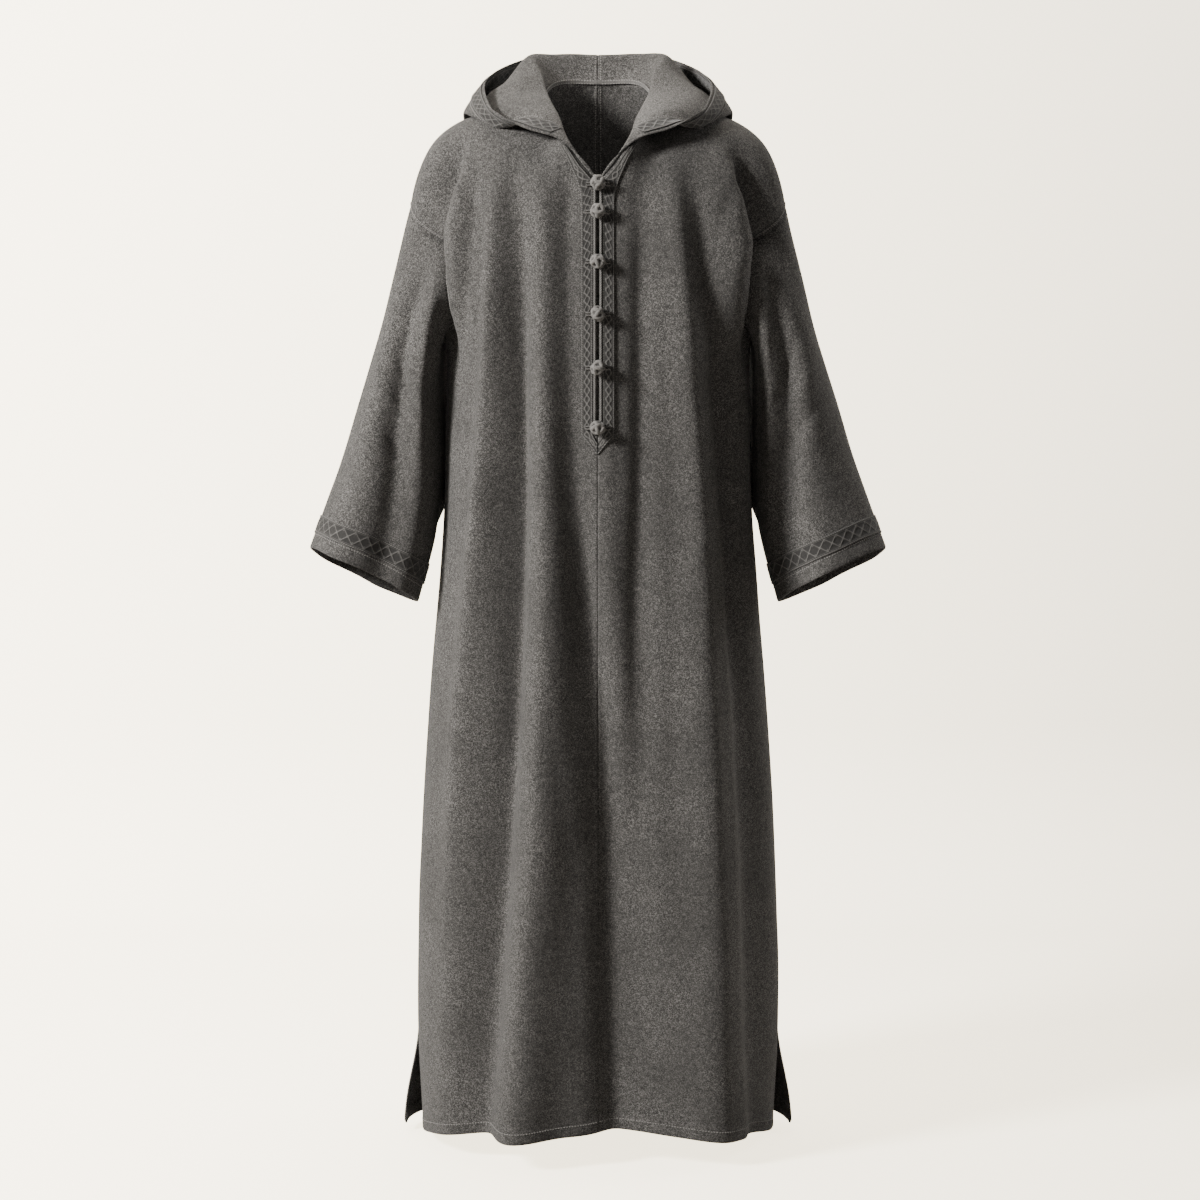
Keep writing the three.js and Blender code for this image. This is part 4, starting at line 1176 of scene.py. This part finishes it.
def feed(tree, socket, value):
    """Link an output to a socket, or set the socket's own value."""
    if isinstance(value, bpy.types.NodeSocket):
        tree.links.new(value, socket)
    else:
        socket.default_value = value


def math_node(tree, operation, a, b=0.0, clamp=False):
    """One sum, product or other operation on two numbers."""
    node = tree.nodes.new("ShaderNodeMath")
    node.operation = operation
    node.use_clamp = clamp
    feed(tree, node.inputs[0], a)
    feed(tree, node.inputs[1], b)
    return node.outputs[0]


def remap(tree, value, low, high, to_low=0.0, to_high=1.0):
    """A smooth step from to_low at low to to_high at high."""
    node = tree.nodes.new("ShaderNodeMapRange")
    node.interpolation_type = "SMOOTHSTEP"
    for name, number in (("Value", value), ("From Min", low), ("From Max", high)):
        feed(tree, node.inputs[name], number)
    node.inputs["To Min"].default_value = to_low
    node.inputs["To Max"].default_value = to_high
    return node.outputs["Result"]


def laid_place(tree, place, scale, turn):
    """A place turned and scaled, so that each layer of fibres lies its own way."""
    node = tree.nodes.new("ShaderNodeMapping")
    tree.links.new(place, node.inputs["Vector"])
    node.inputs["Scale"].default_value = scale
    node.inputs["Rotation"].default_value = turn
    return node.outputs["Vector"]


def noise(tree, place, scale, detail=2.0, rough=0.5):
    """Soft noise around 0.5, finer as the scale grows."""
    node = tree.nodes.new("ShaderNodeTexNoise")
    tree.links.new(place, node.inputs["Vector"])
    node.inputs["Scale"].default_value = scale
    node.inputs["Detail"].default_value = detail
    node.inputs["Roughness"].default_value = rough
    return node.outputs["Fac"]


def mix_color(tree, share, a, b):
    """Colour a where the share is 0, and colour b where it is 1."""
    node = tree.nodes.new("ShaderNodeMix")
    node.data_type = "RGBA"
    feed(tree, node.inputs["Factor"], share)
    feed(tree, node.inputs["A"], a)
    feed(tree, node.inputs["B"], b)
    return node.outputs["Result"]


def fibres(tree, place, turn, size, thick, gaps):
    """Short curly fibres: thin lines where a noise passes its middle value, broken by another."""
    laid = laid_place(tree, place, (size, size, size), turn)
    above = math_node(tree, "SUBTRACT", noise(tree, laid, 1.0, 1.5), 0.5)
    off_line = math_node(tree, "ABSOLUTE", above)
    line = remap(tree, off_line, 0.25 * thick, thick, 1.0, 0.0)
    cut = remap(tree, noise(tree, laid, 1.7, 1.0), gaps, gaps + 0.1)
    return math_node(tree, "MULTIPLY", line, cut)


def melange_group():
    """Mixed wool: a mottled ground with short curly fibres of a lighter grey lying every way."""
    tree, start, end = new_group(
        "melange wool",
        [
            ("Place", "Vector", None),
            ("Ground", "Color", (0.05, 0.046, 0.042, 1)),
            ("Pale Fibre", "Color", (0.3, 0.28, 0.26, 1)),
            ("Pale Share", "Float", 0.5),
            ("Dark Fibre", "Color", (0.015, 0.014, 0.013, 1)),
        ],
        [("Color", "Color"), ("Roughness", "Float"), ("Height", "Float")],
    )
    place = start.outputs["Place"]
    grain = noise(tree, place, 620, 2, 0.6)
    mottle = noise(tree, place, 150, 3, 0.65)
    patches = noise(tree, place, 11, 3, 0.6)
    coarse = fibres(tree, place, (0.3, 0.2, 0.5), 300, 0.06, 0.44)
    fine = fibres(tree, place, (1.1, 0.7, 0.2), 430, 0.055, 0.42)
    stray = fibres(tree, place, (0.6, 1.3, 1.1), 360, 0.05, 0.48)
    pale = math_node(tree, "MAXIMUM", coarse, fine)
    dark, ground = start.outputs["Dark Fibre"], start.outputs["Ground"]
    under = mix_color(tree, remap(tree, mottle, 0.25, 0.7), dark, ground)
    under = mix_color(tree, math_node(tree, "MULTIPLY", stray, 0.6), under, dark)
    share = math_node(tree, "MULTIPLY", pale, start.outputs["Pale Share"])
    share = math_node(
        tree, "MULTIPLY", share, remap(tree, patches, 0.25, 0.75, 0.6, 1.2), clamp=True
    )
    color = mix_color(tree, share, under, start.outputs["Pale Fibre"])
    height = math_node(tree, "ADD", pale, math_node(tree, "MULTIPLY", grain, 0.8))
    height = math_node(tree, "ADD", height, math_node(tree, "MULTIPLY", mottle, 0.8))
    tree.links.new(color, end.inputs["Color"])
    tree.links.new(remap(tree, grain, 0.2, 0.8, 0.82, 0.97), end.inputs["Roughness"])
    tree.links.new(height, end.inputs["Height"])
    return tree


def yarn_group():
    """Yarn laid in a pattern, coloured by its relief: painted shade in its hollows and painted light
    on its crests, with fine fibres and the slant of the twisted thread."""
    tree, start, end = new_group(
        "laid yarn",
        [
            ("Place", "Vector", None),
            ("Along Thread", "Vector", None),
            ("Relief", "Float", 0.5),
            ("Shaded Hollow", "Color", (0.022, 0.0205, 0.019, 1)),
            ("Lit Crest", "Color", (0.15, 0.143, 0.134, 1)),
            ("Twist Scale", "Float", 500.0),
        ],
        [("Color", "Color"), ("Roughness", "Float"), ("Height", "Float")],
    )
    twist = tree.nodes.new("ShaderNodeTexWave")
    twist.bands_direction = "DIAGONAL"
    tree.links.new(start.outputs["Along Thread"], twist.inputs["Vector"])
    tree.links.new(start.outputs["Twist Scale"], twist.inputs["Scale"])
    twist.inputs["Distortion"].default_value = 1.2
    fuzz = noise(tree, start.outputs["Place"], 900, 3, 0.6)
    mottle = noise(tree, start.outputs["Place"], 260, 2, 0.6)
    # Painted shade where the relief is low, painted light where it is high.
    share = remap(tree, start.outputs["Relief"], 0.2, 0.9)
    color = mix_color(tree, share, start.outputs["Shaded Hollow"], start.outputs["Lit Crest"])
    uneven = remap(tree, mottle, 0.3, 0.7, 0.85, 1.15)
    shade = math_node(tree, "MULTIPLY", remap(tree, fuzz, 0.3, 0.7, 0.78, 1.22), uneven)
    lit = tree.nodes.new("ShaderNodeVectorMath")
    lit.operation = "SCALE"
    tree.links.new(color, lit.inputs[0])
    tree.links.new(shade, lit.inputs["Scale"])
    tree.links.new(lit.outputs["Vector"], end.inputs["Color"])
    tree.links.new(remap(tree, fuzz, 0.2, 0.8, 0.68, 0.85), end.inputs["Roughness"])
    tree.links.new(math_node(tree, "ADD", twist.outputs["Fac"], fuzz), end.inputs["Height"])
    return tree


MELANGE = melange_group()
LAID_YARN = yarn_group()


def new_material(name):
    """A material with its node tree, its shader and the place on the piece."""
    material = bpy.data.materials.new(name)
    material.use_nodes = True
    tree = material.node_tree
    place = tree.nodes.new("ShaderNodeTexCoord").outputs["Object"]
    return material, tree, tree.nodes["Principled BSDF"], place


def cover(tree, shader, group, values, strength, distance):
    """Place a group with its own values, and give the shader its colour, its roughness and its
    height, as a bump of some strength and distance."""
    surface = tree.nodes.new("ShaderNodeGroup")
    surface.node_tree = group
    for name, value in values.items():
        feed(tree, surface.inputs[name], value)
    bumps = tree.nodes.new("ShaderNodeBump")
    bumps.inputs["Strength"].default_value = strength
    bumps.inputs["Distance"].default_value = distance
    tree.links.new(surface.outputs["Height"], bumps.inputs["Height"])
    tree.links.new(surface.outputs["Color"], shader.inputs["Base Color"])
    tree.links.new(surface.outputs["Roughness"], shader.inputs["Roughness"])
    tree.links.new(bumps.outputs["Normal"], shader.inputs["Normal"])


def wool_material(name, ground, pale, dark, pale_share):
    """Mixed wool on object coordinates, brushed, with a slight sheen."""
    material, tree, shader, place = new_material(name)
    values = {
        "Place": place,
        "Ground": (*ground, 1),
        "Pale Fibre": (*pale, 1),
        "Dark Fibre": (*dark, 1),
        "Pale Share": pale_share,
    }
    cover(tree, shader, MELANGE, values, strength=0.5, distance=0.0009)
    shader.inputs["Sheen Weight"].default_value = 0.06
    shader.inputs["Sheen Roughness"].default_value = 0.55
    shader.inputs["Specular IOR Level"].default_value = 0.25
    return material


# A wave texture of scale 1 repeats every 0.628 of u + v.
WAVE_REPEAT = 0.628


def yarn_material(name, hollow, crest, twist_size):
    """Laid yarn by the piece's own relief, from a painted-shade colour, hollow, to a painted-light
    colour, crest; its threads slant over the piece's own UV with a twist that repeats every
    twist_size metres."""
    material, tree, shader, place = new_material(name)
    height = tree.nodes.new("ShaderNodeAttribute")
    height.attribute_name = "relief"
    uv = tree.nodes.new("ShaderNodeUVMap")
    uv.uv_map = "cloth"
    values = {
        "Place": place,
        "Along Thread": uv.outputs["UV"],
        "Relief": height.outputs["Fac"],
        "Shaded Hollow": (*hollow, 1),
        "Lit Crest": (*crest, 1),
        "Twist Scale": WAVE_REPEAT / twist_size,
    }
    cover(tree, shader, LAID_YARN, values, strength=0.45, distance=0.0004)
    shader.inputs["Sheen Weight"].default_value = 0.15
    shader.inputs["Specular IOR Level"].default_value = 0.3
    return material


WOOL = wool_material(
    "charcoal wool", (0.056, 0.053, 0.050), (0.27, 0.257, 0.243), (0.022, 0.021, 0.0195), 0.58
)
# Each yarn: its painted shade for the hollows, its painted light for the crests, and the twist's
# length.
BRAID_YARN = yarn_material("braid yarn", (0.022, 0.0205, 0.019), (0.15, 0.143, 0.134), 0.0011)
CORD_YARN = yarn_material("cord yarn", (0.035, 0.033, 0.031), (0.17, 0.162, 0.152), 0.0014)
KNOT_YARN = yarn_material("knot yarn", (0.02, 0.0185, 0.017), (0.15, 0.142, 0.133), 0.0016)
THREAD = yarn_material("sewing thread", (0.07, 0.066, 0.061), (0.24, 0.228, 0.214), 0.0009)


def dress(piece, material, slot, *nodes):
    """Give a piece its material and the nodes that it stands for. slot is not used."""
    piece.data.materials.append(material)
    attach(piece, "root")
    if nodes:
        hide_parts(*nodes)
    return piece


# ---- Braids, cords and buttons ----
# The pattern of the braids: the length of a diamond along each, the hood section where its band
# starts, the twist and width of the rope edges, how far in from the edges the ropes, borders and
# diamonds lie, and the pitch of the threads.
PLACKET_PERIOD = 12.0
CUFF_PERIOD = 17.0
HOOD_PERIOD = 15.0
HOOD_BAND_START = 2.3
ROPE_PITCH = 3.2
ROPE_WIDTH = 1.15
ROPE_FROM_EDGE = 1.3
BORDER_FROM_EDGE = 3.5
MOTIF_FROM_EDGE = 3.8
THREAD_PITCH = 1.6


def rope(u, v, at):
    """A raised edge of twisted thread: a bell across, ribbed slantwise along."""
    slant = v / ROPE_PITCH + (u - at) / ROPE_PITCH
    return bump(u - at, ROPE_WIDTH) * (0.7 + 0.35 * np.sin(2 * np.pi * slant))


def zigzag(v, period):
    """A straight zigzag between 0 and 1."""
    return np.abs(2 * np.mod(v / period, 1) - 1)


def braid_relief(u, v, width, period):
    """Rope edges, with a chain of diamonds between two zigzags, a knot in each diamond and small
    leaves in the corners between them. Heights from 0 to 1."""
    half = width / 2 - MOTIF_FROM_EDGE
    off = (u - width / 2) / half
    away = np.abs(off)
    wave = zigzag(v, period)
    slope = np.mod(v / period, 1) - 0.5
    lines = bump((away - wave) * half * 0.75, 1.0)
    knots = bump(np.hypot(off * half, slope * period), 0.16 * half + 1.0)
    corner = np.mod(v / period + 0.5, 1) - 0.5
    leaves = bump(np.hypot((away - 0.7) * half / 1.5, corner * period / 1.3), 1.1)
    motif = np.maximum(np.maximum(lines, knots), 0.85 * leaves) * (away < 1.08)
    threads = 0.8 + 0.2 * np.sin(2 * np.pi * (v + u) / THREAD_PITCH)
    edges = rope(u, v, ROPE_FROM_EDGE) + rope(u, v, width - ROPE_FROM_EDGE)
    borders = sum(bump(u - at, 0.5) for at in (BORDER_FROM_EDGE, width - BORDER_FROM_EDGE))
    borders = 0.55 * borders
    return np.clip(np.maximum(np.maximum(0.9 * motif * threads, edges), borders), 0, 1)


def laid_braid(name, side, surface, normals, relief, rise, sunk, closed=False):
    """A braid on a surface: its top stands 0.5 and its relief times a rise off it, and the edges
    of its underside are a little sunk in."""
    top = surface + normals * (0.5 + relief * rise)[..., None]
    base = (surface - normals * sunk)[:, [0, -1]]
    # The relief also sets the yarn's colour: painted shade where the braid lies low, painted light
    # where it stands up.
    piece = strip(f"{name}_band", top, base, relief, side=side, closed=closed)
    return dress(piece, BRAID_YARN, "braid", name)


def edge_rows(steps):
    """The placket braid's inner and outer edge by x and z, from where it narrows away along the V
    to its point: corners joined by straight lines, taken in even steps."""
    corners = np.array(
        [
            (41, -64.5, 52, -56),
            (31, -79.5, 41, -78),
            (23, -91, 34.5, -94),
            (15, -100, 28, -109),
            (PLACKET_INNER_EDGE + 0.6, -110, 22.6, -127),
            (PLACKET_INNER_EDGE, -124, PLACKET_HALF_WIDTH, -138),
            (PLACKET_INNER_EDGE, PLACKET_SHOULDER_Z, PLACKET_HALF_WIDTH, PLACKET_SHOULDER_Z),
            (0.6, PLACKET_POINT_Z + 16, 0.6, PLACKET_POINT_Z),
        ]
    )
    middle = (corners[:, :2] + corners[:, 2:]) / 2
    run = lengths_along(middle)
    at = np.unique(np.concatenate([np.linspace(0, run[-1], steps), run]))
    return np.stack([np.interp(at, run, corners[:, k]) for k in range(4)], -1), at


def placket_braid(side, word):
    """The flat braid beside the slit, on the front's own points."""
    rows, run = edge_rows(470)
    share = np.linspace(0, 1, 20)
    x = rows[:, :1] + (rows[:, 2:3] - rows[:, :1]) * share
    z = rows[:, 1:2] + (rows[:, 3:4] - rows[:, 1:2]) * share
    flat = on_front(side * x, z, CLOTH / 2 + PLACKET_STAND)
    flat[..., 0] *= side
    normals = grid_normals(flat)
    width = np.hypot(rows[:, 2] - rows[:, 0], rows[:, 3] - rows[:, 1])[:, None]
    u = share * width
    relief = braid_relief(u, run[:, None], np.maximum(width, 8.0), PLACKET_PERIOD)
    return laid_braid(f"placket_braid_{word}", side, flat, normals, relief, rise=1.2, sunk=0.2)


def cuff_braid(side, word):
    """The band round a sleeve above its end."""
    columns = 30
    distances = CUFF_BAND_FROM_EDGE + CUFF_BAND_WIDTH * np.linspace(1, 0, columns)
    turns = 360 * np.arange(560) / 560
    middle, normals = sleeve_surface(side, cuff_levels(distances), turns[::-1])
    middle, normals = (a.transpose(1, 0, 2)[::-1] for a in (middle, normals))
    run = lengths_along(middle[:, columns // 2])
    whole = run[-1] + run[1]
    period = whole / round(whole / CUFF_PERIOD)
    u = np.broadcast_to(np.linspace(0, CUFF_BAND_WIDTH, columns), middle.shape[:2])
    relief = braid_relief(u, run[:, None], CUFF_BAND_WIDTH, period)
    surface = middle + normals * (CLOTH / 2 + CUFF_BAND_STAND)
    name = f"cuff_braid_{word}"
    return laid_braid(name, side, surface, normals, relief, rise=1.1, sunk=0.1, closed=True)


def hood_braid(side, word, inside):
    """The band along the hood's rim, on its lining side or its outer side."""
    columns = 24
    along = np.linspace(HOOD_BAND_START, HOOD_LAST, 420)
    distances = HOOD_BAND_FROM_RIM + HOOD_BAND_WIDTH * np.linspace(0, 1, columns)
    over = over_at_rim_distance(along[None, :], distances[:, None])
    grid = hood_points(np.broadcast_to(along, over.shape), over)
    grid[:, -1, 0] = -SEAM_OVERLAP / 2
    normals = -grid_normals(grid)
    normals[:, -1, 0] = 0
    grid, normals = (a.transpose(1, 0, 2) for a in (grid, unit(normals)))
    if not inside:
        grid, normals = grid[:, ::-1], -normals[:, ::-1]
    run = lengths_along(grid[:, columns // 2])
    u = lengths_along(grid, 1)
    width = u[:, -1:]
    u = u * HOOD_BAND_WIDTH / width
    relief = braid_relief(u, run[:, None], HOOD_BAND_WIDTH, HOOD_PERIOD)
    surface = grid + normals * (CLOTH / 2 + HOOD_BAND_STAND - 0.2)
    name = f"hood_braid_{'in' if inside else 'out'}_{word}"
    return laid_braid(name, side, surface, normals, relief, rise=1.1, sunk=0.2)


def tube(path, radius, sides=8, closed=False, twist=0.0, ridge=0.0, strands=3):
    """A round cord along a path of points: rings square to the path, with the strands of a
    twisted cord as soft ridges that turn along it."""
    if closed:
        ahead = np.roll(path, -1, 0) - np.roll(path, 1, 0)
    else:
        ahead = np.gradient(path, axis=0)
    ahead = unit(ahead)
    reference = np.where(np.abs(ahead[:, 2:3]) > 0.9, [[1.0, 0, 0]], [[0, 0, 1.0]])
    across = unit(np.cross(ahead, reference))
    other = np.cross(ahead, across)
    turn = 2 * np.pi * np.arange(sides) / sides
    run = lengths_along(path)
    strand = np.cos(strands * turn[None, :] - twist * run[:, None])
    swell = 1 + ridge * strand
    rings = path[:, None] + radius * swell[..., None] * (
        across[:, None] * np.cos(turn)[None, :, None] + other[:, None] * np.sin(turn)[None, :, None]
    )
    rows = len(path)
    at = np.arange(rows * sides).reshape(rows, sides)
    around = np.concatenate([at, at[:, :1]], 1)
    if closed:
        around = np.concatenate([around, around[:1]])
    quads = np.stack([around[:-1, :-1], around[:-1, 1:], around[1:, 1:], around[1:, :-1]], -1)
    parts = [quads.reshape(-1, 4)]
    if not closed:
        for end, way in ((at[0], -1), (at[-1], 1)):
            parts.append(end_cap(end)[:, ::way])
    uv = np.stack(np.broadcast_arrays(turn[None, :] * radius, run[:, None]), -1)
    # Painted shade in the grooves between the strands, and painted light on their tops.
    relief = (0.6 + 0.4 * strand).ravel()
    return rings.reshape(-1, 3), np.concatenate(parts), uv.reshape(-1, 2), relief


def join_parts(parts):
    """Points, faces, UVs and relief of several parts as one."""
    points, faces, uvs, reliefs, start = [], [], [], [], 0
    for part_points, part_faces, part_uv, part_relief in parts:
        points.append(part_points)
        faces.append(part_faces + start)
        uvs.append(part_uv)
        reliefs.append(part_relief)
        start += len(part_points)
    return tuple(np.concatenate(each) for each in (points, faces, uvs, reliefs))


def placket_cord(side, word):
    """The round cord along one edge of the slit, twisted of three strands."""
    z = np.linspace(BUTTON_HEIGHTS[0] - 4, PLACKET_SHOULDER_Z, 420)
    lift = CLOTH / 2 + PLACKET_STAND + CORD_LIFT
    path = on_front(np.full(z.shape, side * CORD_OFFSET), z, lift)
    path[:, 0] = CORD_OFFSET
    points, faces, uv, relief = tube(path, CORD_RADIUS, sides=12, twist=1.9, ridge=0.14)
    piece = make_mesh(f"placket_cord_{word}_twist", points, faces, uv, side, relief)
    return dress(piece, CORD_YARN, "cord", f"placket_cord_{word}")


# How the knot is laid: times round the ball, swings from pole to pole, how far each swing goes
# in radians, the strand's mean distance from the middle as a share of the ball's radius, and how
# far it passes over and under in millimetres.
KNOT_ROUNDS = 3
KNOT_SWINGS = 4
KNOT_SWING = 1.02
KNOT_MEAN = 0.74
KNOT_OVER = 0.7
# The core's radius, how far the ball's middle stands off the slit, and its depth from front to
# back, as shares of the ball's own size.
CORE_SHARE = 0.8
BALL_LIFT = 0.8
BALL_DEPTH = 0.86


def button(index, height):
    """A ball knotted of one cord: it goes three times round the ball while it swings four times
    from pole to pole, passing over and under itself, about a round core. Two short cords tie it
    to the edges of the slit, and a loop goes over it."""
    lift = CLOTH / 2 + BUTTON_SEAT + BALL_LIFT * BUTTON_RADIUS
    seat = on_front(np.array([0.0]), np.array([height]), lift)[0]
    t = np.linspace(0, 2 * np.pi, 300, endpoint=False)
    turn = KNOT_ROUNDS * t
    swing = KNOT_SWING * np.sin(KNOT_SWINGS * t)
    radius = KNOT_MEAN * BUTTON_RADIUS + KNOT_OVER * np.cos(2 * KNOT_SWINGS * t + 0.3)
    path = radius[:, None] * ball_points(np.pi / 2 - swing, turn)[:, [0, 2, 1]]
    knot = tube(tilted(path, index), KNOT_STRAND, sides=10, closed=True, ridge=0.05, twist=1.7)
    rings, spokes = 17, 24
    from_pole = np.linspace(0.02, np.pi - 0.02, rings)[:, None]
    core = ball_points(from_pole, 2 * np.pi * np.arange(spokes) / spokes).reshape(-1, 3)
    core = core * CORE_SHARE * BUTTON_RADIUS
    ball = (core, grid_faces(rings, spokes, closed=True), core[:, :2], np.zeros(len(core)))
    points, faces, uv, _ = join_parts([knot, ball])
    # Painted shade and light: the strands darken towards the core and the core is dark, where shade
    # falls between them, and their outer sides are paler.
    relief = ease(0.66, 0.98, np.linalg.norm(points, axis=1) / BUTTON_RADIUS)
    body = (points * np.array([1, BALL_DEPTH, 1]) + seat, faces, uv, relief)
    points, faces, uv, relief = join_parts([body, *button_cords(seat, height)])
    piece = make_mesh(f"button_{index}_knot", points, faces, uv, 1, relief)
    return dress(piece, KNOT_YARN, "knot", f"button_{index}")


def ball_points(from_pole, turn):
    """Points of a ball of radius 1: (sin p cos t, sin p sin t, cos p)."""
    sine = np.sin(from_pole)
    x, y, z = sine * np.cos(turn), sine * np.sin(turn), np.cos(from_pole)
    return np.stack(np.broadcast_arrays(x, y, z), -1)


def tilted(path, index):
    """A knot's path turned about X and then about Y, so that each ball shows another side."""
    lean, roll = 0.5 + 0.23 * index, 1.1 * index
    lift = np.array(
        [[1, 0, 0], [0, math.cos(lean), -math.sin(lean)], [0, math.sin(lean), math.cos(lean)]]
    )
    spin = np.array(
        [[math.cos(roll), 0, math.sin(roll)], [0, 1, 0], [-math.sin(roll), 0, math.cos(roll)]]
    )
    return path @ lift.T @ spin.T


# Half the step between the two strands of a tie, how far out it runs on either side, the half
# width and half height of the loop, and how far behind the ball's middle it lies.
TIE_HALF_STEP = 1.7
TIE_RUN = (4, 16)
LOOP_SIZE = (5.2, 4.6)
LOOP_BEHIND = 0.62 * BUTTON_RADIUS


def button_cords(seat, height):
    """The doubled cord that ties the ball to one edge of the slit, and the same to the other,
    and the loop that lies round the ball's neck."""
    parts = []
    lift = CLOTH / 2 + PLACKET_STAND + BRAID_THICK + TIE_RADIUS
    for way in (-1, 1):
        for rise in (-TIE_HALF_STEP, TIE_HALF_STEP):
            x = way * np.linspace(*TIE_RUN, 14)
            path = on_front(x, np.full(x.shape, height + rise), lift)
            parts.append(tube(path, TIE_RADIUS, sides=8, twist=1.6, ridge=0.1))
    neck = np.linspace(0, 2 * np.pi, 48, endpoint=False)
    behind = np.full(neck.shape, LOOP_BEHIND)
    ring = np.stack([LOOP_SIZE[0] * np.cos(neck), behind, LOOP_SIZE[1] * np.sin(neck)], -1)
    parts.append(tube(ring + seat, LOOP_RADIUS, sides=8, closed=True, twist=1.6, ridge=0.1))
    return parts


# ---- The pieces ----
for word, side in SIDES:
    body_panel(side, word, "front")
    body_panel(side, word, "back")
    sleeve(side, word)
    hood_half(side, word)
    placket_braid(side, word)
    placket_cord(side, word)
    hood_braid(side, word, inside=True)
    hood_braid(side, word, inside=False)
    cuff_braid(side, word)
    neck_tape(side, word)
for index, height in enumerate(BUTTON_HEIGHTS, start=1):
    button(index, height)
stitch_piece()


# ---- Floor and light, in metres ----
# How brightly the backdrop shows to the camera at the middle, how much less for each metre to
# the right, and the least: a painted glow, with painted shade towards the right; how brightly
# the sky shows, and how much light it gives.
PLASTER_GLOW = 3.6
GLOW_FALL = 1.3
LEAST_GLOW = 1.6
SKY_SHOWN = 3.0
SKY_LIGHT = 0.09
# The floor lies a little below the robe and bends up into the wall.
FLOOR_BELOW = 0.012
FLOOR_DEPTHS = (-6.0, -1.0, 0.4)
BEND = 0.35
WALL_BACK = 1.7
WALL_TOP = 5.0
WALL_HALF_WIDTH = 6
# Each light: its name, place, aim, size, power and colour.
LIGHTS = (
    ("key", (-3.1, -2.0, 1.3), (0, 0, -0.65), 1.0, 400, (1.0, 0.985, 0.96)),
    ("fill", (2.4, -3.2, 0.4), (0, 0, -0.7), 2.6, 7, (1.0, 0.98, 0.95)),
    ("wall", (-0.4, 0.75, 2.9), (-0.2, 1.7, -0.5), 2.2, 110, (1.0, 0.94, 0.85)),
    ("side", (2.9, 1.1, 0.9), (0, 0, -0.6), 1.6, 45, (1.0, 0.98, 0.95)),
    ("neck", (0.03, -0.1, 0.05), (0.0, 0.1, -0.16), 0.05, 0.12, (1.0, 0.97, 0.93)),
)


def plaster_material():
    """Mottled plaster, clear when seen from its back. It glows to the camera alone as painted light,
    with a strength of glow - fall x, which is painted shade towards the right, and throws back
    less light than it shows."""
    material, tree, shader, place = new_material("plaster")
    patches = noise(tree, place, 1.6, 4, 0.6)
    plaster = mix_color(tree, patches, (0.9, 0.85, 0.77, 1), (0.96, 0.925, 0.865, 1))
    ray = tree.nodes.new("ShaderNodeLightPath").outputs
    dimmed = math_node(tree, "MULTIPLY", ray["Is Diffuse Ray"], 0.8)
    color = mix_color(tree, dimmed, plaster, (0.1, 0.095, 0.09, 1))
    tree.links.new(color, shader.inputs["Base Color"])
    across = tree.nodes.new("ShaderNodeSeparateXYZ")
    tree.links.new(place, across.inputs["Vector"])
    fall = math_node(tree, "MULTIPLY", across.outputs["X"], GLOW_FALL)
    shade = math_node(tree, "MAXIMUM", math_node(tree, "SUBTRACT", PLASTER_GLOW, fall), LEAST_GLOW)
    glow = math_node(tree, "MULTIPLY", ray["Is Camera Ray"], shade)
    tree.links.new(glow, shader.inputs["Emission Strength"])
    shader.inputs["Emission Color"].default_value = (1.0, 0.885, 0.65, 1)
    shader.inputs["Roughness"].default_value = 0.9
    from_back = tree.nodes.new("ShaderNodeNewGeometry").outputs["Backfacing"]
    clear = tree.nodes.new("ShaderNodeBsdfTransparent")
    either = tree.nodes.new("ShaderNodeMixShader")
    tree.links.new(from_back, either.inputs[0])
    tree.links.new(shader.outputs[0], either.inputs[1])
    tree.links.new(clear.outputs[0], either.inputs[2])
    tree.links.new(either.outputs[0], tree.nodes["Material Output"].inputs["Surface"])
    return material


def backdrop():
    """A pale floor that curves up by a quarter circle into a wall behind."""
    turn = np.linspace(0, np.pi / 2, 24)
    y = np.concatenate([FLOOR_DEPTHS, WALL_BACK - BEND + BEND * np.sin(turn), [WALL_BACK]])
    z = np.concatenate([[0, 0, 0], BEND - BEND * np.cos(turn), [WALL_TOP]])
    z = z + cad_box[0][2] - FLOOR_BELOW
    x = np.linspace(-WALL_HALF_WIDTH, WALL_HALF_WIDTH, 9)
    grid = np.stack(np.broadcast_arrays(x[None, :], y[:, None], z[:, None]), -1) / MM
    faces = grid_faces(*grid.shape[:2], flip=True)
    piece = make_mesh("backdrop", grid.reshape(-1, 3), faces, grid[..., :2].reshape(-1, 2))
    piece.data.materials.append(plaster_material())


def area_light(name, place, aim, size, power, color):
    """A round lamp at a place, turned to face its aim."""
    data = bpy.data.lights.new(name, "AREA")
    data.shape = "DISK"
    data.size = size
    data.energy = power
    data.color = color
    light = bpy.data.objects.new(name, data)
    bpy.context.scene.collection.objects.link(light)
    x, y, z = (b - a for a, b in zip(place, aim))
    light.location = place
    light.rotation_euler = (math.atan2(math.hypot(x, y), -z), 0, math.atan2(-x, y))


def lighting():
    """A large soft light from the upper left, weak ones from the right and from its back, light
    on the wall, a glimmer inside the neck, and a dim sky that shows pale."""
    for light in LIGHTS:
        area_light(*light)
    world = bpy.data.worlds.new("sky")
    world.use_nodes = True
    tree = world.node_tree
    sky = tree.nodes["Background"]
    sky.inputs["Color"].default_value = (1.0, 0.975, 0.94, 1)
    seen = tree.nodes.new("ShaderNodeLightPath").outputs["Is Camera Ray"]
    strength = math_node(tree, "ADD", math_node(tree, "MULTIPLY", seen, SKY_SHOWN), SKY_LIGHT)
    tree.links.new(strength, sky.inputs["Strength"])
    bpy.context.scene.world = world


backdrop()
lighting()
